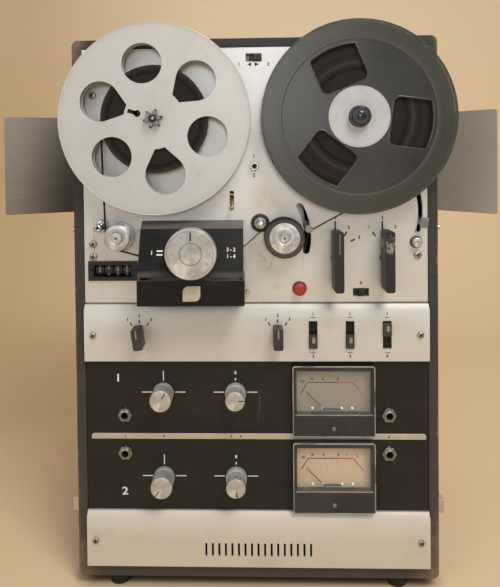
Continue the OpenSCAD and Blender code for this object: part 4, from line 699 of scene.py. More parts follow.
def turn(name, line, centre, skin, home, around, flutes=0, fluted=(), deep=0.0, axis="y", shut=True):
    """A turned piece: line holds (radius, height) points, with height along Y, or along X for axis x.
    The points in fluted are cut by as many flutes, deep mm deep."""
    verts = []
    faces = []
    count = len(line)
    for k in range(around):
        a = 2 * pi * k / around
        for i, (r, h) in enumerate(line):
            if i in fluted and flutes:
                r -= deep * (0.5 + 0.5 * cos(flutes * a))
            if axis == "y":
                verts.append((r * cos(a), h, r * sin(a)))
            else:
                verts.append((h, r * cos(a), r * sin(a)))
    for k in range(around):
        n = (k + 1) % around
        for i in range(count - 1):
            a, b, c, d = k * count + i, k * count + i + 1, n * count + i + 1, n * count + i
            faces.append((a, b, c, d) if axis == "y" else (d, c, b, a))
    for i, end in ((0, 1), (count - 1, -1)):
        if shut and line[i][0] > 0.001:
            ring = [k * count + i for k in range(around)]
            if line[0][0] != line[-1][0] or line[0][1] != line[-1][1]:
                faces.append(ring[::-1] if (end > 0) == (axis == "y") else ring)
    obj = add(name, verts, faces, skin, home, centre, True)
    weld(obj)
    return obj


def raised(base, *line):
    """Points of a turned piece, their heights counted from base."""
    return [(r, base + h) for r, h in line]


def ring_line(r0, r1, front, back, lip):
    """Outline of a flat ring from y front to back."""
    return [(r0, back), (r0, front + lip), (r0 + lip, front), (r1 - lip, front), (r1, front + lip),
            (r1, back), (r0, back)]


def leftward(outline):
    """Whether an outline runs counter-clockwise."""
    ahead = outline[1:] + outline[:1]
    return sum(ax * bz - bx * az for (ax, az), (bx, bz) in zip(outline, ahead)) > 0


def plates(name, outlines, front, back, skin, home, centre=None, soft=0.0, slope=None):
    """Flat plates from outlines in x and z, between y front and back; slope gives y at a height z."""
    verts = []
    faces = []
    for outline in outlines:
        n = len(outline)
        o = len(verts)
        for depth in (front, back):
            verts += [(x, (slope(z) if slope else 0) + depth, z) for x, z in outline]
        ring = list(range(n))[::1 if leftward(outline) else -1]
        faces.append([o + i for i in ring])
        faces.append([o + n + i for i in ring[::-1]])
        for i in range(n):
            a, b = ring[i], ring[(i + 1) % n]
            faces.append((o + b, o + a, o + n + a, o + n + b))
    return add(name, verts, faces, skin, home, centre, False, soft)


def bar(x0, z0, x1, z1, w):
    """Outline of a straight stroke of width w."""
    dx, dz = x1 - x0, z1 - z0
    size = hypot(dx, dz)
    ux, uz = -dz / size * w / 2, dx / size * w / 2
    return [(x0 - ux, z0 - uz), (x1 - ux, z1 - uz), (x1 + ux, z1 + uz), (x0 + ux, z0 + uz)]


def polar(r, a, x=0, z=0):
    return x + r * cos(a), z + r * sin(a)


def radial(r0, r1, a, w, x=0, z=0):
    """Outline of a stroke of width w along a radius of the point x, z."""
    return bar(*polar(r0, a, x, z), *polar(r1, a, x, z), w)


def rotated(outline, a):
    c, s = cos(a), sin(a)
    return [(x * c - z * s, x * s + z * c) for x, z in outline]


def path(points, w):
    return [bar(*points[i], *points[i + 1], w) for i in range(len(points) - 1)]


def round_box(x0, x1, z0, z1, r, steps, corners=(1, 1, 1, 1)):
    """Rounded rectangle; corners says which are round, from the lower left and counter-clockwise."""
    out = []
    for i, (cx, cz) in enumerate(((x0, z0), (x1, z0), (x1, z1), (x0, z1))):
        if not corners[i]:
            out.append((cx, cz))
            continue
        px = cx + r if i in (0, 3) else cx - r
        pz = cz + r if i in (0, 1) else cz - r
        for k in range(steps + 1):
            a = pi + pi / 2 * (i + k / steps)
            out.append(polar(r, a, px, pz))
    return out


def about(x, z, half_w, half_h, r, steps):
    return round_box(x - half_w, x + half_w, z - half_h, z + half_h, r, steps)


def front_of(low):
    """Depth of the front of a box whose low corner is given, in the millimetres of at()."""
    return (low.y - FACE_Y) * 1000


def disc(x, z, r, steps):
    return [polar(r, 2 * pi * k / steps, x, z) for k in range(steps)]


def frame_ring(name, outer, inner, front, back, skin, home, centre=None, soft=0.0):
    """A ring between two outlines with the same number of points."""
    n = len(outer)
    verts = [(x, y, z) for y in (front, back) for line in (outer, inner) for x, z in line]
    faces = []
    for i in range(n):
        j = (i + 1) % n
        faces.append((i, j, n + j, n + i))
        faces.append((2 * n + j, 2 * n + i, 3 * n + i, 3 * n + j))
        faces.append((j, i, 2 * n + i, 2 * n + j))
        faces.append((n + i, n + j, 3 * n + j, 3 * n + i))
    return add(name, verts, faces, skin, home, centre, False, soft)


def figures(text, size, resolution, half_rise=0.0, bold=0.0):
    """Mesh of plain figures, their middle at the origin."""
    curve = bpy.data.curves.new("figures", "FONT")
    curve.body = text
    curve.size = size
    curve.align_x = "CENTER"
    curve.align_y = "CENTER"
    curve.extrude = half_rise
    curve.resolution_u = resolution
    curve.offset = bold
    source = bpy.data.objects.new("figures", curve)
    SCENE.collection.objects.link(source)
    bpy.context.view_layer.update()
    mesh = bpy.data.meshes.new_from_object(source.evaluated_get(bpy.context.evaluated_depsgraph_get()))
    bpy.data.objects.remove(source)
    return mesh


def number(name, text, x, z, size, front, skin, home, centre=None, slope=None, wide=1.0, rise=0.1):
    """Plain figures as thin raised print, their middle at x and z."""
    mesh = figures(text, size, 3, rise / 2, 0.16)
    verts = []
    for v in mesh.vertices:
        px, pz = x + v.co.x * wide, z + v.co.y
        verts.append((px, front - v.co.z + (slope(pz) if slope else 0), pz))
    faces = [tuple(p.vertices) for p in mesh.polygons]
    return add(name, verts, faces, skin, home, centre)


def numbers(prefix, rows, *more, **extra):
    """Figures given as rows of text, x and z."""
    for i, row in enumerate(rows):
        number(f"{prefix}_{i + 1}", *row, *more, **extra)


def print_ink(name, code, rough=0.6):
    s = Surface(name, code, rough)
    fade = s.noise(420, 4, rough=0.8)
    s.tint((s.step(fade, 0.55, 0.85), "#8F877A", 0.35))
    s.bump(fade, 0.00002)


print_ink("dark_ink", "#211D1A")
print_ink("white_ink", "#DDD8CF")
print_ink("grey_ink", "#8D867B")
print_ink("red_ink", "#A03A34")
print_ink("scratch_line", "#8B8478", 0.7)
spun("turned_metal", "#D8D6D3")
spun("turned_warm", "#DDD7CD", 0.36)
metal("bright_edge", "#C9C2B6", 0.34, 0.5, (300, 300, 300), dirt=0.5, dark="#5E564C")
metal("worn_rim", "#A8A196", 0.36, 0.5, (120, 120, 120), dirt=0.95, dark="#1D1A17")
metal("label_strip", "#B5ADA0", 0.4, 0.5, (20, 900, 1800), dirt=0.25)
plastic("dark_hole", "#0F0D0C", 0.7, amount=0.03)
metal("knurled_metal", "#C6C1B9", 0.38, 0.4, (300, 40, 300), dirt=0.35, dark="#6F675C")
print_ink("pin_white", "#F4F1EA", 0.4)
print_ink("drum_ink", "#A5A099")
plastic("lock_plastic", "#1B1918", 0.3, coat=0.3)


@skin("window_edge", "#36352F", 0.28)
def window_edge(s):
    s.uneven(s.noise(300, 3), 0.18, 0.38)
    s.tint((s.step(s.noise(80, 3), 0.45, 0.75), "#4C4B43"))


@skin("label_paper", "#B9B9B9", 0.75)
def label_paper(s):
    fibre = s.noise(900, 4, rough=0.7)
    out = s.far(0, 0)
    rule = s.step(s.gap(out, 0.0268), 0.0004, 0.0002)
    inner = s.step(s.gap(out, 0.0135), 0.0004, 0.0002)
    soft = s.noise(60, 4)
    s.tint((s.step(soft, 0.45, 0.7), "#9F9E9C", 0.35), (s.plus(rule, inner, True), "#7E868E", 0.3))
    s.bump(fibre, 0.00003)


def loft(name, loops, skin, home, centre):
    """A band over outlines with the same number of points, given as (outline, depth)."""
    n = len(loops[0][0])
    verts = [(x, y, z) for outline, y in loops for x, z in outline]
    faces = []
    for k in range(len(loops) - 1):
        for i in range(n):
            j = (i + 1) % n
            faces.append((k * n + i, k * n + j, (k + 1) * n + j, (k + 1) * n + i))
    add(name, verts, faces, skin, home, centre, True)


def grown(outline, by):
    """An outline with its points moved out by a distance, along their corners' mean normals."""
    n = len(outline)
    side = 1 if leftward(outline) else -1
    out = []
    for i in range(n):
        (ax, az), (bx, bz), (cx, cz) = outline[i - 1], outline[i], outline[(i + 1) % n]
        u = Vector((bz - az, ax - bx)).normalized()
        v = Vector((cz - bz, bx - cx)).normalized()
        m = (u + v).normalized() * side * by / max(0.5, (u + v).length / 2)
        out.append((bx + m.x, bz + m.y))
    return out


def reel_window(turned_by):
    """Outline of a window of the plastic reel, turned about its axis."""
    low, half, far, r = 29.5, 22.0, 66.5, 6.0
    tip = degrees(asin(half / far))
    outline = [polar(far, radians(-tip + 2 * tip * i / 14)) for i in range(15)]
    for mid, first in ((half - r, 90), (r - half, 180)):
        outline += [polar(r, radians(first + 18 * i), low + r, mid) for i in range(6)]
    return rotated(outline, turned_by)


def make_reels():
    spot = axis_spot("supply_spin")
    front = SUPPLY_FRONT
    arm = [(2.2, -1.1), (8.6, -0.9), (9.3, 0), (8.6, 0.9), (2.2, 1.1)]
    arms = [rotated(arm, radians(12 + 60 * k)) for k in range(6)]
    plates("lock_arms", arms, front - 5.6, front - 0.2, "lock_plastic", LOCK, spot, 0.35)
    turn("lock_middle", raised(front, (0, -7.6), (1.5, -7.4), (2.6, -6.5), (3.2, -5.2), (3.4, 0.1)), spot,
         "lock_plastic", LOCK, 48)
    turn("lock_tip", raised(front, (0, -8.0), (0.8, -7.9), (1.2, -7.5), (1.2, -7.2)), spot, "post_steel",
         LOCK, 32)
    a = radians(161.5)
    hole = disc(*polar(16, a), 3.6, 28)
    slit = radial(16, 27, a, 3.9)
    # A dark sheet behind the front flange, seen through the threading hole and slit, paints the shade in their
    # depth.
    plates("thread_hole_depth", [hole, slit], front + 1.9, front + 2.1, "dark_hole", SUPPLY, spot)
    band = raised(front, (20.0, 0.5), (28.4, 0.5), (28.4, 1.5), (20.0, 1.5), (20.0, 0.5))
    turn("window_depth", band, spot, "tape_brown", SUPPLY, 128)
    rim = raised(front, (87.6, 0.3), (87.9, -0.1), (88.5, -0.2), (89.0, 0.1), (89.05, 0.6), (88.9, 1.4),
                 (88.0, 1.3), (87.6, 0.3))
    turn("supply_rim", rim, spot, "reel_metal", SUPPLY, 180)
    nicks = [bar(44 + 3 * k, 62 - 2 * k, 48 + 3 * k, 59 - 3 * k, 0.18) for k in (0, 1)]
    nicks += [bar(-28, -60, -22, -66, 0.2), bar(8, 60, 15, 63, 0.16), bar(-70, 6, -66, 14, 0.2),
              bar(40, -52, 44, -47, 0.2)]
    plates("reel_nicks", nicks, front - 0.02, front + 0.05, "scratch_line", SUPPLY, spot)
    # loose end of the tape behind the upper right window
    curl = [(15.5, 15.0), (19.5, 18.5), (24, 18.2), (27.2, 15.4)]
    plates("tape_curl", path(curl, 1.1), front + 2.6, front + 7.5, "arm_steel", ("supply", "tape_brown"),
           spot)

    spot = axis_spot("takeup_spin")
    front = TAKEUP_FRONT
    turn("paper_label", ring_line(9.9, 28.0, front - 0.25, front + 0.05, 0.1), spot, "label_paper", TAKEUP,
         128)
    cap = raised(front, (0, -9.4), (1.6, -9.3), (3.3, -8.95), (5.0, -8.3), (6.6, -7.3), (7.9, -5.9),
                 (8.8, -4.2), (9.3, -2.2), (9.45, -0.5), (10.0, -0.2), (10.0, 0.2))
    turn("hub_cap", cap, spot, "turntable_black", ("takeup", "turntable_black"), 144, 9, (3, 4, 5, 6, 7),
         0.5)
    for k in range(3):
        outline = reel_window(radians(-7.5 + 120 * k))
        lip = raised(front, (1.45, 0.02), (1.1, -0.25), (0.6, -0.35), (0.2, -0.2), (0.02, 0.4), (-0.5, 3.4))
        loops = [(grown(outline, by), depth) for by, depth in lip]
        loft(f"window_rim_{k + 1}", loops, "window_edge", TAKEUP, spot)
    rim = raised(front, (87.4, 0.2), (87.7, -0.2), (88.4, -0.3), (89.0, -0.1), (89.1, 0.8), (88.9, 1.7),
                 (87.8, 1.6), (87.4, 0.2))
    turn("takeup_rim", rim, spot, "window_edge", TAKEUP, 180)
    step = raised(front, (70.0, 0.05), (70.8, -0.12), (72.0, -0.18), (73.4, -0.1), (74.6, 0.05),
                  (70.0, 0.05))
    turn("takeup_step", step, spot, "reel_plastic", TAKEUP, 180)


def make_transport():
    # capstan bush and its bright tip
    spot = axis_spot("capstan_spin")
    turn("capstan_collar", [(3.5, -2.1), (3.7, -2.45), (4.6, -2.75), (7.4, -2.5), (8.4, -2.1), (8.9, -1.1),
                            (8.9, 0.02), (8.7, 0.02), (8.65, -1.05), (3.5, -2.05)], spot, "counter_black",
         CHASSIS, 64)
    turn("capstan_washer", ring_line(3.45, 5.6, -2.93, -2.5, 0.15), spot, "post_steel", CHASSIS, 64)
    turn("capstan_tip", [(0, -20.6), (1.6, -20.5), (2.6, -20.2), (3.25, -19.6), (3.25, -18.8)], spot,
         "post_steel", ("capstan_flywheel", "flywheel_steel"), 48)
    # pinch roller's turned disc and hub
    spot = axis_spot("pinch_spin")
    turn("pinch_disc", [(4.6, -17.0), (4.6, -17.4), (5.2, -17.6), (11.4, -17.6), (11.7, -17.4),
                        (12.4, -17.4), (12.7, -17.7), (13.9, -17.6), (14.3, -17.2), (14.3, -16.6)], spot,
         "turned_metal", ("pinch_roller", "roller_rubber"), 128)
    turn("pinch_tyre", [(13.9, -16.9), (14.3, -17.15), (17.2, -17.15), (18.3, -16.7), (18.86, -15.6),
                        (18.86, -15.0)], spot, "roller_rubber", ("pinch_roller", "roller_rubber"), 128)
    turn("pinch_cap", [(0, -18.55), (0.9, -18.55), (0.95, -18.9), (3.6, -18.85), (4.1, -18.4), (4.1, -17.5)],
         spot, "turned_metal", PINCH_ARM, 64)
    # Dark disc: painted shade of the pinch cap's centre hole.
    turn("pinch_dot", [(0, -18.95), (0.9, -18.95), (0.9, -18.5)], spot, "dark_hole", PINCH_ARM, 24)
    # guide roller with its turned face
    spot = axis_spot("guide_spin")
    face = [(5.3, -21.4), (5.4, -22.0), (6.0, -22.2), (10.6, -22.2), (11.4, -21.8), (12.05, -21.2),
            (12.05, -20.6)]
    turn("guide_face", face, spot, "turned_metal", ("guide_roller", "roller_steel"), 128)
    turn("guide_cap", [(0, -24.0), (0.9, -24.0), (0.95, -24.3), (4.2, -24.2), (5.2, -23.7), (5.2, -22.3)],
         spot, "turned_metal", POST, 64)
    # Dark disc: painted shade of the guide cap's centre hole.
    turn("guide_dot", [(0, -24.4), (0.9, -24.4), (0.9, -23.9)], spot, "dark_hole", POST, 24)
    # worn socket and small posts
    turn("stud_ring", ring_line(2.2, 4.1, -5.5, -4.6, 0.4), STUD_AT, "post_steel", POST, 48)
    # Dark disc: painted shade of the stud's hole.
    turn("stud_hole", [(0, -5.15), (2.25, -5.15), (2.25, -4.7)], STUD_AT, "dark_hole", POST, 32)
    turn("post_head", [(0, -21.6), (1.4, -21.7), (2.4, -22.2), (3.3, -22.0), (3.7, -21.2), (3.7, -20.6),
                       (2.8, -19.9), (2.8, -12), (3.9, -11.4), (3.9, -8.6), (2.8, -8)], POST_AT,
         "post_steel", POST, 64)
    # Dark disc: painted shade of the post's centre hole.
    turn("post_dot", [(0, -21.75), (1.35, -21.75), (1.35, -21.3)], POST_AT, "dark_hole", POST, 24)
    turn("post_foot", [(2.6, -3.2), (5.2, -3.0), (6.2, -2.2), (6.4, 0)], POST_AT, "post_steel", POST, 64)
    for name, spot, r, front in (("start_ring", START_AT, 4.9, -1.0), ("record_ring", RECORD_AT, 6.0, -0.6)):
        turn(name, ring_line(r, r + 1.1, front, 0, 0.3), spot, "arm_steel", DECK, 64)
    turn("start_cap", [(0, -6.2), (1.6, -6.2), (1.8, -6.55), (3.6, -6.5), (4.35, -6.0), (4.6, -5.2),
                       (4.6, -2.0)], START_AT, "turned_metal", ("start_button", "button_metal"), 64)
    turn("record_cap", [(0, -7.15), (3.6, -7.3), (4.9, -7.0), (5.6, -6.2), (5.68, -5.0), (5.68, -2.0)],
         RECORD_AT, "button_red", ("record_button", "button_red"), 64)
    number("speed_arrows", "1", -13.2, 501.9, 4.4, -0.02, "dark_ink", DECK)
    number("speed_arrows_right", "2", 14.6, 501.9, 4.4, -0.02, "dark_ink", DECK)
    arrows = [[(-5.4, 501.9), (-1.6, 499.9), (-1.6, 503.9)], [(5.6, 501.9), (1.8, 503.9), (1.8, 499.9)]]
    plates("arrow_marks", arrows, -0.07, 0.0, "dark_ink", DECK)
    ticks = [bar(76.6, 343, 76.6, 352.4, 1.5), bar(85.2, 338.2, 87.2, 342.4, 1.5),
             bar(90.9, 333.2, 95.2, 335.2, 1.5), bar(120.9, 343, 120.9, 352.4, 1.5),
             bar(111.7, 342.2, 114.4, 337.9, 1.5), bar(129.8, 342.2, 127.3, 337.9, 1.5)]
    plates("lever_ticks", ticks, -0.07, 0.0, "dark_ink", DECK)
    numbers("deck_figure", (("1", 77, 355.4), ("2", 89.3, 346.6), ("3", 99, 336.8), ("2", 121, 355.4),
                            ("1", 108.4, 346.6), ("3", 133.2, 346.6), ("0", 100.5, 293.6), ("1", 0.2, 414.6),
                            ("2", 0.1, 396.4), ("0", 152.5, 342.6)), 4.4, -0.02, "dark_ink", DECK)
    lines = path([(2.9, 322.4), (5.2, 319.6), (9.1, 318.4), (10.3, 315.3)], 0.35)
    lines += path([(9.6, 307.6), (15.4, 308.4), (16.2, 314.0), (18.8, 320.5)], 0.35)
    lines += path([(52, 342), (48.5, 330), (46.2, 318), (45.1, 302)], 0.22)
    lines += path([(-71, 372.2), (-66, 369.5), (-58.5, 370.4)], 0.3)
    plates("deck_scratches", lines, -0.03, 0.02, "scratch_line", DECK)
    # light line on the left lever
    low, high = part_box("function_lever")
    mid = (low.x + high.x) / 2 * 1000 - MID_X * 1000
    front = front_of(low)
    plates("lever_line", [bar(mid + 0.6, 325, mid + 0.6, 343.2, 0.7)], front - 0.06, front + 0.1,
           "ring_grey", ("function_lever", "lever_grey"))


def slope_y(z):
    """Depth of the head cover's sloping face at height z."""
    upper_y, upper_z = -25, 349.3
    run, drop = 20, 41.1
    return upper_y - run * (upper_z - z) / drop


def make_head_covers():
    marks = [bar(-88.3, 330.4, -82.9, 330.4, 1.3), bar(-88.3, 327.2, -82.9, 327.2, 1.3)]
    plates("stereo_bars", marks, -0.12, 0.2, "white_ink", COVER, slope=slope_y)
    number("head_figure_left", "1", -92.8, 328.8, 4.6, -0.05, "white_ink", COVER, slope=slope_y)
    number("head_figure_up", "3 - 2", -21.5, 331.2, 4.3, -0.05, "white_ink", COVER, slope=slope_y)
    number("head_figure_down", "1 - 4", -21.5, 325.6, 4.3, -0.05, "white_ink", COVER, slope=slope_y)
    badge = round_box(-64.2, -48.4, 287.4, 300.9, 5.5, 8, (0, 1, 0, 1))
    plates("blank_badge", [badge], -45.7, -44.9, "bright_edge", COVER, soft=0.25)
    # track knob
    spot = axis_spot("track_turn")
    line = [(0, -57.35), (4.2, -57.3), (4.3, -57.1), (4.6, -57.1), (4.7, -57.3), (19.4, -57.1),
            (19.6, -56.8), (20.2, -56.8), (20.5, -57.2), (21.9, -57.1), (22.5, -56.5), (22.6, -55.6),
            (22.6, -48.4), (22.2, -47.2), (12.5, -47.0), (3, -47.0), (3, -23.0)]
    knob = turn("track_dial", line, spot, "turned_metal", TRACK, 288, 96, (11, 12), 0.35)
    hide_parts("track_knob")
    pointer = [bar(0, 11.5, 0, 18.8, 1.3)]
    plates("track_pointer", pointer, -57.45, -57.0, "dark_ink", TRACK, spot)
    rings = [(9.2, -57.3), (9.3, -57.42), (9.8, -57.42), (9.9, -57.3), (9.2, -57.3)]
    turn("track_ring", rings, spot, "arm_steel", TRACK, 128)
    dots = [radial(15.2, 17.6, radians(90 - a), 0.5) for a in range(-120, 121, 30) if a]
    plates("track_scale", dots, -57.4, -57.0, "grey_ink", TRACK, spot)


def make_counter():
    drum_y, drum_r, pitch = 7.3, 6.5, 8.7
    mid_z = axis_spot("counter_spin")[1]
    left = -153.4
    shown = "2795"
    verts = []
    faces = []
    for i in range(4):
        x0 = left + (i + 0.5) * pitch
        for digit in range(10):
            turn_by = 2 * pi * ((digit - int(shown[i])) % 10) / 10
            mesh = figures(str(digit), 5.6, 2)
            o = len(verts)
            for v in mesh.vertices:
                a = v.co.y / drum_r + turn_by
                r = drum_r + 0.04
                verts.append((x0 + v.co.x, drum_y - r * cos(a), mid_z + r * sin(a)))
            faces += [tuple(o + n for n in p.vertices) for p in mesh.polygons]
    add("counter_figures", verts, faces, "drum_ink", ("counter_drums", "figure_white"))
    # reset wheel at the left of the window, standing out of the frame
    wheel = [(0, -2.1), (4.2, -2.1), (4.9, -1.7), (4.9, 1.7), (4.2, 2.1), (0, 2.1)]
    turn("reset_wheel", wheel, (-156.5, 0.6, mid_z), "counter_black", COUNTER, 96, 24, (1, 2, 3, 4), 0.5,
         "x")
    window = round_box(-154.1, -117.9, 300.2, 312.4, 0.6, 2)
    outer = round_box(-155.0, -117.0, 299.3, 313.3, 1.0, 2)
    frame_ring("counter_window_edge", outer, window, -2.4, -1.9, "counter_black", COUNTER, soft=0.15)


def make_knobs():
    for name, clockwise in (("mic_knob_left", 30), ("mic_knob_right", 218), ("line_knob_left", 85),
                            ("line_knob_right", 172)):
        joint = name.replace("_knob_", "_volume_")
        spot = axis_spot(joint)
        low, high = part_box(name)
        r = (high.x - low.x) * 500
        front = front_of(low)
        foot = -0.5 if name.startswith("mic") else -7.8
        side = [(3.0, 15.0), (3.0, foot), (r - 0.6, foot), (r, foot - 0.6), (r, foot - 6),
                (r - 0.35, foot - 6.3), (r - 0.35, foot - 7.0), (r, foot - 7.3), (r, front + 1.6),
                (r - 0.15, front + 1.2), (3.0, front + 1.0)]
        skirt = turn(name + "_skirt", side, spot, "knurled_metal", (name, "knob_metal"), 240, 60,
                     (3, 4, 7, 8), 0.35)
        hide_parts(name)
        cap = raised(front, (0, -0.02), (r - 0.7, 0), (r - 0.25, 0.2), (r + 0.02, 0.6), (r + 0.02, 1.5),
                     (r - 0.4, 1.6))
        turn(name + "_face", cap, spot, "turned_warm", (name, "knob_metal"), 128)
        hand = radial(3.0, r - 0.6, radians(90 - clockwise), 1.0)
        plates(name + "_hand", [hand], front - 0.1, front + 0.3, "dark_ink", (name, "knob_metal"), spot)
    for name in ("line_ring_left", "line_ring_right"):
        spot = axis_spot(name + "_turn")
        low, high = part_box(name)
        r = (high.x - low.x) * 500
        line = [(3.2, 7.5), (4.4, 7.5), (4.4, -0.5), (r - 0.5, -0.5), (r, -1.0), (r, -6.2), (r - 0.3, -6.5),
                (r - 0.5, -7.4), (r - 1.4, -7.5), (3.2, -7.5), (3.2, 7.5)]
        made = turn(name + "_grip", line, spot, "knurled_metal", (name, "ring_grey"), 240, 60, (4, 5), 0.35)
        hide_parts(name)
        plates(name + "_mark", [bar(0, r - 3.2, 0, r - 1.2, 0.9)], -7.62, -7.4, "white_ink",
               (name, "ring_grey"), spot)
    for joint, body in (("source_turn", "source_knob"), ("mode_turn", "mode_knob")):
        spot = axis_spot(joint)
        low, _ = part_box(body)
        front = front_of(low)
        lean = radians(7.6) if body == "source_knob" else 0.0
        tip = (9.2 * sin(-lean), 9.2 * cos(lean))
        root = (1.0 * sin(-lean), 1.0 * cos(lean))
        plates(body + "_line", [bar(*root, *tip, 1.2)], front - 0.06, front + 0.2, "grey_ink",
               (body, "bar_knob_grey"), spot)


def make_panel_marks():
    crosses = []
    for x, up in zip(KNOB_X, (True, False)):
        for z in KNOB_Z:
            crosses.append(bar(x - 21, z, x - 11, z, 0.85))
            crosses.append(bar(x + 11, z, x + 21, z, 0.85))
            if up:
                crosses.append(bar(x, z + 11, x, z + 20.5, 0.85))
            else:
                crosses.append(bar(x, z + 11.3, x, z + 13.6, 1.1))
    plates("knob_crosses", crosses, -0.06, 0.02, "white_ink", FACE)
    number("channel_one", "1", -132.6, 202.4, 10.5, -0.04, "white_ink", FACE, wide=1.2)
    number("channel_two", "2", -127.2, 92.5, 10.5, -0.04, "white_ink", FACE, wide=1.2)
    number("zero_upper", "0", KNOB_X[1], 207.6, 4.2, -0.04, "white_ink", FACE)
    number("zero_lower", "0", KNOB_X[1], 126.4, 4.2, -0.04, "white_ink", FACE)
    mid, half, top_half = 1.2, 159.8, 158.3
    strip = [(mid - half, 144.15), (mid + half, 144.15), (mid + half, 148.2), (mid + top_half, 149.65),
             (mid - top_half, 149.65), (mid - half, 148.2)]
    plates("bright_strip", [strip], -1.45, -0.02, "label_strip", FACE, soft=0.3)
    numbers("strip_figure", zip("12345", (-126, KNOB_X[0], -24, -15, 126), [146.8] * 5), 3.0, -1.47,
            "dark_ink", FACE, rise=0.06)
    ticks = []
    for x in ROTARY_X:
        for a in (-37, 0, 37):
            ticks.append(radial(11.4, 15.0, radians(90 - a), 1.2, x, ROW_Z))
    for i in range(3):
        x = FIRST_SWITCH_X + SWITCH_PITCH * i
        ticks.append(bar(x - 2.4, 262.4, x + 2.4, 262.4, 0.6))
        ticks.append(bar(x - 2.4, 228.9, x + 2.4, 228.9, 0.6))
    plates("switch_ticks", ticks, PANEL_FRONT - 0.06, PANEL_FRONT + 0.02, "dark_ink", PANEL)
    for x, n in zip(ROTARY_X, "ab"):
        for k, a in enumerate((-37, 0, 37)):
            number(f"rotary_figure_{n}{k + 1}", str(k + 1), *polar(18.6, radians(90 - a), x, ROW_Z), 3.8,
                   PANEL_FRONT - 0.02, "dark_ink", PANEL)
    for i in range(3):
        x = FIRST_SWITCH_X + SWITCH_PITCH * i
        number(f"switch_figure_{i + 1}a", "1", x, 265.6, 3.8, PANEL_FRONT - 0.02, "dark_ink", PANEL)
        number(f"switch_figure_{i + 1}b", "2" if i < 2 else "0", x, 225.6, 3.8, PANEL_FRONT - 0.02,
               "dark_ink", PANEL)
        body = SWITCHES[i]
        low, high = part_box(body)
        front = front_of(low)
        mid = (low.z + high.z) * 500
        ridges = [bar(x - 3.2, mid + k * 1.5, x + 3.2, mid + k * 1.5, 0.6) for k in (-3, -2, -1, 0, 1, 2, 3)]
        plates(body + "_ridges", ridges, front - 0.35, front + 0.1, "bar_knob_grey", (body, "slide_grey"),
               soft=0.12)
        # A light bar on each thumb is a painted highlight.
        plates(body + "_painted_highlight", [round_box(x - 1.3, x + 1.7, mid - 1.5, mid + 4.2, 1.2, 3)], front - 0.5,
               front + 0.1, "ring_grey", (body, "slide_grey"), soft=0.2)
        # Dark sheets behind the switch slots paint the shade in their depth.
        plates(f"slot_depth_{i + 1}", [about(x, ROW_Z, 6.5, 16, 1.0, 3)], -2.02, -1.92, "dark_hole", PANEL)
        edge_out = about(x, ROW_Z, 4.15, 13.2, 0.8, 3)
        edge_in = about(x, ROW_Z, 3.95, 12.95, 0.6, 3)
        frame_ring(f"slot_edge_{i + 1}", edge_out, edge_in, PANEL_FRONT - 0.12, PANEL_FRONT + 0.4,
                   "counter_black", PANEL, soft=0.05)
    for k, (x, z, body) in enumerate(((0.8, 508.4, "speed_slide"), (100.5, 284.8, "autostop_slide"))):
        edge_out = about(x, z, 7.6, 3.9, 0.8, 3)
        edge_in = about(x, z, 6.95, 3.25, 0.4, 3)
        frame_ring(f"slide_edge_{k + 1}", edge_out, edge_in, -0.12, 0.4, "counter_black", DECK, soft=0.05)
        low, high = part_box(body)
        mid = ((low.x + high.x) / 2 - MID_X) * 1000
        ridges = [bar(mid + 1.2 * i, z - 2.4, mid + 1.2 * i, z + 2.4, 0.45) for i in (-1, 0, 1)]
        plates(body + "_ridges", ridges, -3.3, -2.9, "slide_grey", (body, "slide_black"), soft=0.1)
    plates("grille_cloth", [round_box(-52, 54, 30.5, 49.5, 1, 2)], 2.0, 2.4, "dark_hole", PANEL)


def dial_skin(name, code, warm):
    s = Surface(name, code, 0.6)
    x, z = s.axes()[0], s.axes()[2]
    soft = s.noise(40, 3)
    top = s.step(z, 0.022, 0.031)
    side = s.step(x, 0.026, 0.036)
    low = s.step(z, -0.004, -0.013)
    # The dial's top and right edges are painted darker as the bezel's painted shadow; the dial is also darker
    # towards the bottom, and the noise tint is a random warm tone.
    s.tint((s.step(soft, 0.4, 0.7), warm, 0.2), (top, "#5E5347", 0.55), (side, "#5E5347", 0.5),
           (low, "#7F7466", 0.35))
    s.bump(s.noise(800, 2), 0.00001)
    return name


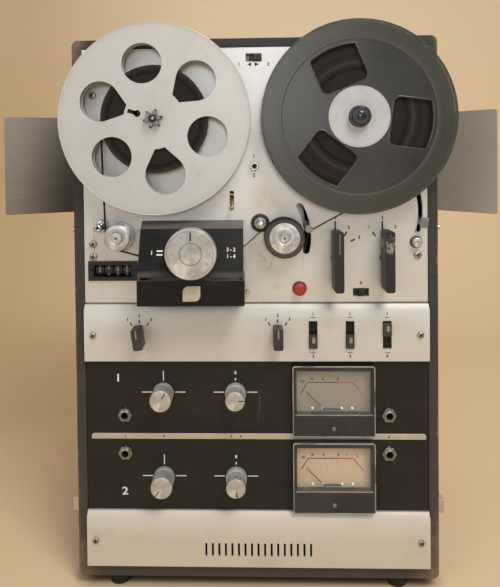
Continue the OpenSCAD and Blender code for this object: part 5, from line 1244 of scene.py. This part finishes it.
def make_meters():
    for k, (z, code, warm) in enumerate(zip(METER_Z, ("#8A7F70", "#C2A887"), ("#978A79", "#CDB28D"))):
        n = f"meter_{k + 1}"
        spot = (METER_X, z)
        plates(n + "_dial", [[(-34.9, -11.9), (34.9, -11.9), (34.9, 28.9), (-34.9, 28.9)]], -1.75, -1.45,
               dial_skin(n + "_face", code, warm), METER, spot)
        plates(n + "_scale", path([(-30.5, 5.2), (-23.9, 15.8), (4.6, 15.85)], 0.95), -1.83, -1.7,
               "dark_ink", METER, spot)
        plates(n + "_red_scale", path([(4.6, 15.85), (19, 15.85), (28.2, 4.3)], 1.0), -1.83, -1.7, "red_ink",
               METER, spot)
        axis_z = -18
        ticks = []
        for x0, z0, size in ((-27.2, 10.4, 5), (-23.9, 15.8, 7), (-19, 15.8, 3.5), (-15, 15.8, 8),
                             (-8, 15.8, 8), (-1.5, 15.8, 4), (4.6, 15.8, 8), (11, 15.8, 3), (17, 15.8, 3),
                             (22, 12.1, 3)):
            dx, dz = -x0, axis_z - z0
            far = hypot(dx, dz)
            ticks.append(bar(x0, z0, x0 + dx / far * size, z0 + dz / far * size, 0.42))
        plates(n + "_ticks", ticks, -1.81, -1.7, "grey_ink", METER, spot)
        numbers(n + "_figure", (("20", -28.5, 16.6), ("10", -20.2, 19.2), ("5", -9.4, 19.2),
                                ("0", 4.8, 19.2)), 3.6, -1.78, "dark_ink", METER, spot, rise=0.06)
        numbers(n + "_red_figure", (("1", 12.5, 19.2), ("3", 22.5, 17.6)), 3.6, -1.78, "red_ink", METER,
                spot, rise=0.06)
        plates(n + "_stop_bar", [bar(-8.6, -9.6, 7.8, -9.6, 1.5)], -2.5, -1.7, "needle_black", METER, spot,
               0.2)
        for i, x in enumerate((-19.6, -10.4, 8.2, 18.2)):
            turn(f"{n}_pin_{i + 1}", [(0, -3.4), (0.8, -3.3), (1.25, -2.9), (1.3, -1.7)],
                 (METER_X + x, z - 8.6), "pin_white", METER, 20)
        outer = about(0, 0, 38.7, 33.55, 2.2, 5)
        inner = about(0, 0, 37.75, 32.65, 1.5, 5)
        frame_ring(n + "_rim", outer, inner, -9.35, -8.4, "worn_rim", METER, spot, 0.2)
        plates(n + "_sill", [bar(-36.2, -12.6, 36.2, -12.6, 1.1)], -9.3, -8.9, "ring_grey", METER, spot,
               0.15)
        grooves = [bar(-36.6, -14.6 - 1.15 * i, 36.6, -14.6 - 1.15 * i, 0.5) for i in range(16)]
        plates(n + "_ribs", grooves, -9.16, -8.95, "meter_black", METER, spot, 0.05)
        turn(n + "_zero", [(0, -9.75), (1.7, -9.7), (2.25, -9.2), (2.35, -8.9)], (METER_X, z - 25.5),
             "ring_grey", METER, 32)
        # Dark bar: painted shade of the zero screw's slot.
        plates(n + "_zero_slot", [bar(-1.3, -25.5, 1.3, -25.5, 0.5)], -9.85, -9.6, "dark_hole", METER, spot)
        name = ("needle_left", "needle_right")[k]
        hub = axis_spot(name + "_swing")
        turn(name + "_hub", [(0, -5.4), (1.6, -5.3), (2.4, -4.9), (2.45, -3.8)], hub, "needle_black",
             (name, "needle_black"), 32)
    rings = (("liner", [(3.05, -3.6), (3.05, 17.5), (0, 18.5)], "dark_hole", 48),
             ("rim", [(3.22, -4.3), (3.4, -4.75), (4.3, -4.85), (5.0, -4.4), (5.06, -3.0)],
              "jack_chrome", 64),
             ("washer", [(5.1, -0.9), (5.95, -0.75), (6.25, -0.4), (6.25, 0.02)], "jack_chrome", 64))
    for i, spot in enumerate(JACKS):
        for kind, line, skin_name, around in rings:
            turn(f"jack_{kind}_{i + 1}", line, spot, skin_name, JACK, around, shut=False)


def make_screws():
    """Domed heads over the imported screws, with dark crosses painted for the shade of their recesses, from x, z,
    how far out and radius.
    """
    places = [(-154.7, 332.0, 0, 3.7), (-154.7, 319.9, 0, 3.7), (153.9, 320.1, 0, 3.7),
              (-153.7, 474.3, 0, 3.7), (153.7, 474.3, 0, 3.7), (-154.7, ROW_Z, 6, 3.0),
              (154.7, ROW_Z, 6, 3.0), (-154.7, 48.3, 6, 3.0), (154.7, 48.3, 6, 3.0)]
    leans = (25, 70, 10, 35, 60, 15, 50, 5, 40)
    head = 1.6
    for i, (x, z, out, r) in enumerate(places):
        y = -out - head
        turn(f"screw_dome_{i + 1}", [(r + 0.05, -out), (r + 0.05, y + 0.5), (r - 0.5, y - 0.15),
                                     (r - 1.4, y - 0.5), (0, y - 0.65)], (x, z), "screw_steel", SCREW, 48)
        lean = radians(leans[i])
        c, t = cos(lean) * r * 0.62, sin(lean) * r * 0.62
        # Dark crosses on the domes paint the shade of the recesses.
        plates(f"screw_cross_{i + 1}", [bar(x - c, z - t, x + c, z + t, 0.95),
                                        bar(x + t, z - c, x - t, z + c, 0.95)],
               y - 0.72, y - 0.2, "dark_hole", SCREW)


def make_sides_and_back():
    for side, name in ((-1, "left"), (1, "right")):
        place = (side * 172.9, 70.0, 407.0)
        cloth = Surface(f"speaker_cloth_{name}", "#2B2824", 0.85)
        _, y, z = cloth.axes()
        weave = cloth.mul(*(cloth.math("SINE", cloth.mul(a, 4200.0)) for a in (y, z)))
        cloth.tint((cloth.step(weave, -0.4, 0.8), "#5B544B", 0.5))
        cloth.bump(weave, 0.0003)
        turn(f"speaker_cloth_{name}", [(0, -side * 1.1), (45.0, -side * 1.1), (45.6, -side * 1.6)], place,
             f"speaker_cloth_{name}", SPEAKER, 96, axis="x")
        for i, r in enumerate((9, 18, 27, 36, 44.6)):
            ring = [(r - 1.0, -side * 1.3), (r - 0.7, -side * 0.3), (r, -side * 0.05),
                    (r + 0.7, -side * 0.3), (r + 1.0, -side * 1.3), (r - 1.0, -side * 1.3)]
            turn(f"grille_ring_{name}_{i + 1}", ring, place, "speaker_basket", SPEAKER, 96, axis="x")
        turn(f"grille_boss_{name}", [(0, 0), (3.2, -side * 0.15), (4.0, -side * 1.0)], place,
             "speaker_basket", SPEAKER, 32, axis="x")
        verts = []
        faces = []
        for k in range(8):
            a = pi * k / 4
            ux, uz = cos(a), sin(a)
            px, pz = -uz * 0.9, ux * 0.9
            o = len(verts)
            for h in (-0.25 * side, -1.3 * side):
                for r, w in ((3.5, 1), (3.5, -1), (45.2, -1), (45.2, 1)):
                    verts.append((h, r * ux + w * px, r * uz + w * pz))
            faces += [(o, o + 1, o + 2, o + 3), (o + 7, o + 6, o + 5, o + 4), (o, o + 4, o + 5, o + 1),
                      (o + 1, o + 5, o + 6, o + 2), (o + 2, o + 6, o + 7, o + 3), (o + 3, o + 7, o + 4, o)]
        add(f"grille_spokes_{name}", verts, faces, "speaker_basket", SPEAKER, place, soft=0.2)
    low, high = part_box("back_cover")
    back = front_of(low) + 4
    left, right = (low.x - MID_X) * 1000, (high.x - MID_X) * 1000
    bottom, top = low.z * 1000, high.z * 1000
    places = [(x, z) for x in (left + 7, 0, right - 7) for z in (bottom + 7, top - 7)]
    places += [(x, (bottom + top) / 2) for x in (left + 7, right - 7)]
    for i, (x, z) in enumerate(places):
        turn(f"back_screw_{i + 1}", raised(back, (4.2, -0.1), (3.9, 0.8), (2.6, 1.5), (0, 1.8)), (x, z),
             "screw_steel", BACK, 40)
        # Dark slots on the heads paint the shade of the screw slots.
        slots = [bar(x - 2.3, z, x + 2.3, z, 0.8), bar(x, z - 2.3, x, z + 2.3, 0.8)]
        plates(f"back_screw_slot_{i + 1}", slots, back + 1.3, back + 1.85, "dark_hole", BACK)
    for i in range(4):
        x = i * 20 - 110
        for kind, line in (("ring", ((5.5, 0.2), (7.6, 0.3), (7.9, 0.1), (7.9, -0.1))),
                           ("edge", ((3.25, 2.0), (3.5, 2.3), (4.8, 2.3), (5.25, 1.9)))):
            turn(f"socket_{kind}_{i + 1}", raised(back, *line), (x, SOCKET_Z), "jack_chrome", BACK, 48,
                 shut=False)
    for i, x in enumerate((84.5, 90, 95.5)):
        pin = raised(back, (1.2, -17.5), (1.2, -4.5), (0.8, -3.9), (0, -3.8))
        turn(f"inlet_pin_{i + 1}", pin, (x, SOCKET_Z + (2.5 if i == 1 else 0)), "post_steel", BACK, 24)


dress_nodes()
make_reels()
make_transport()
make_head_covers()
make_counter()
make_knobs()
make_panel_marks()
make_meters()
make_screws()
make_sides_and_back()
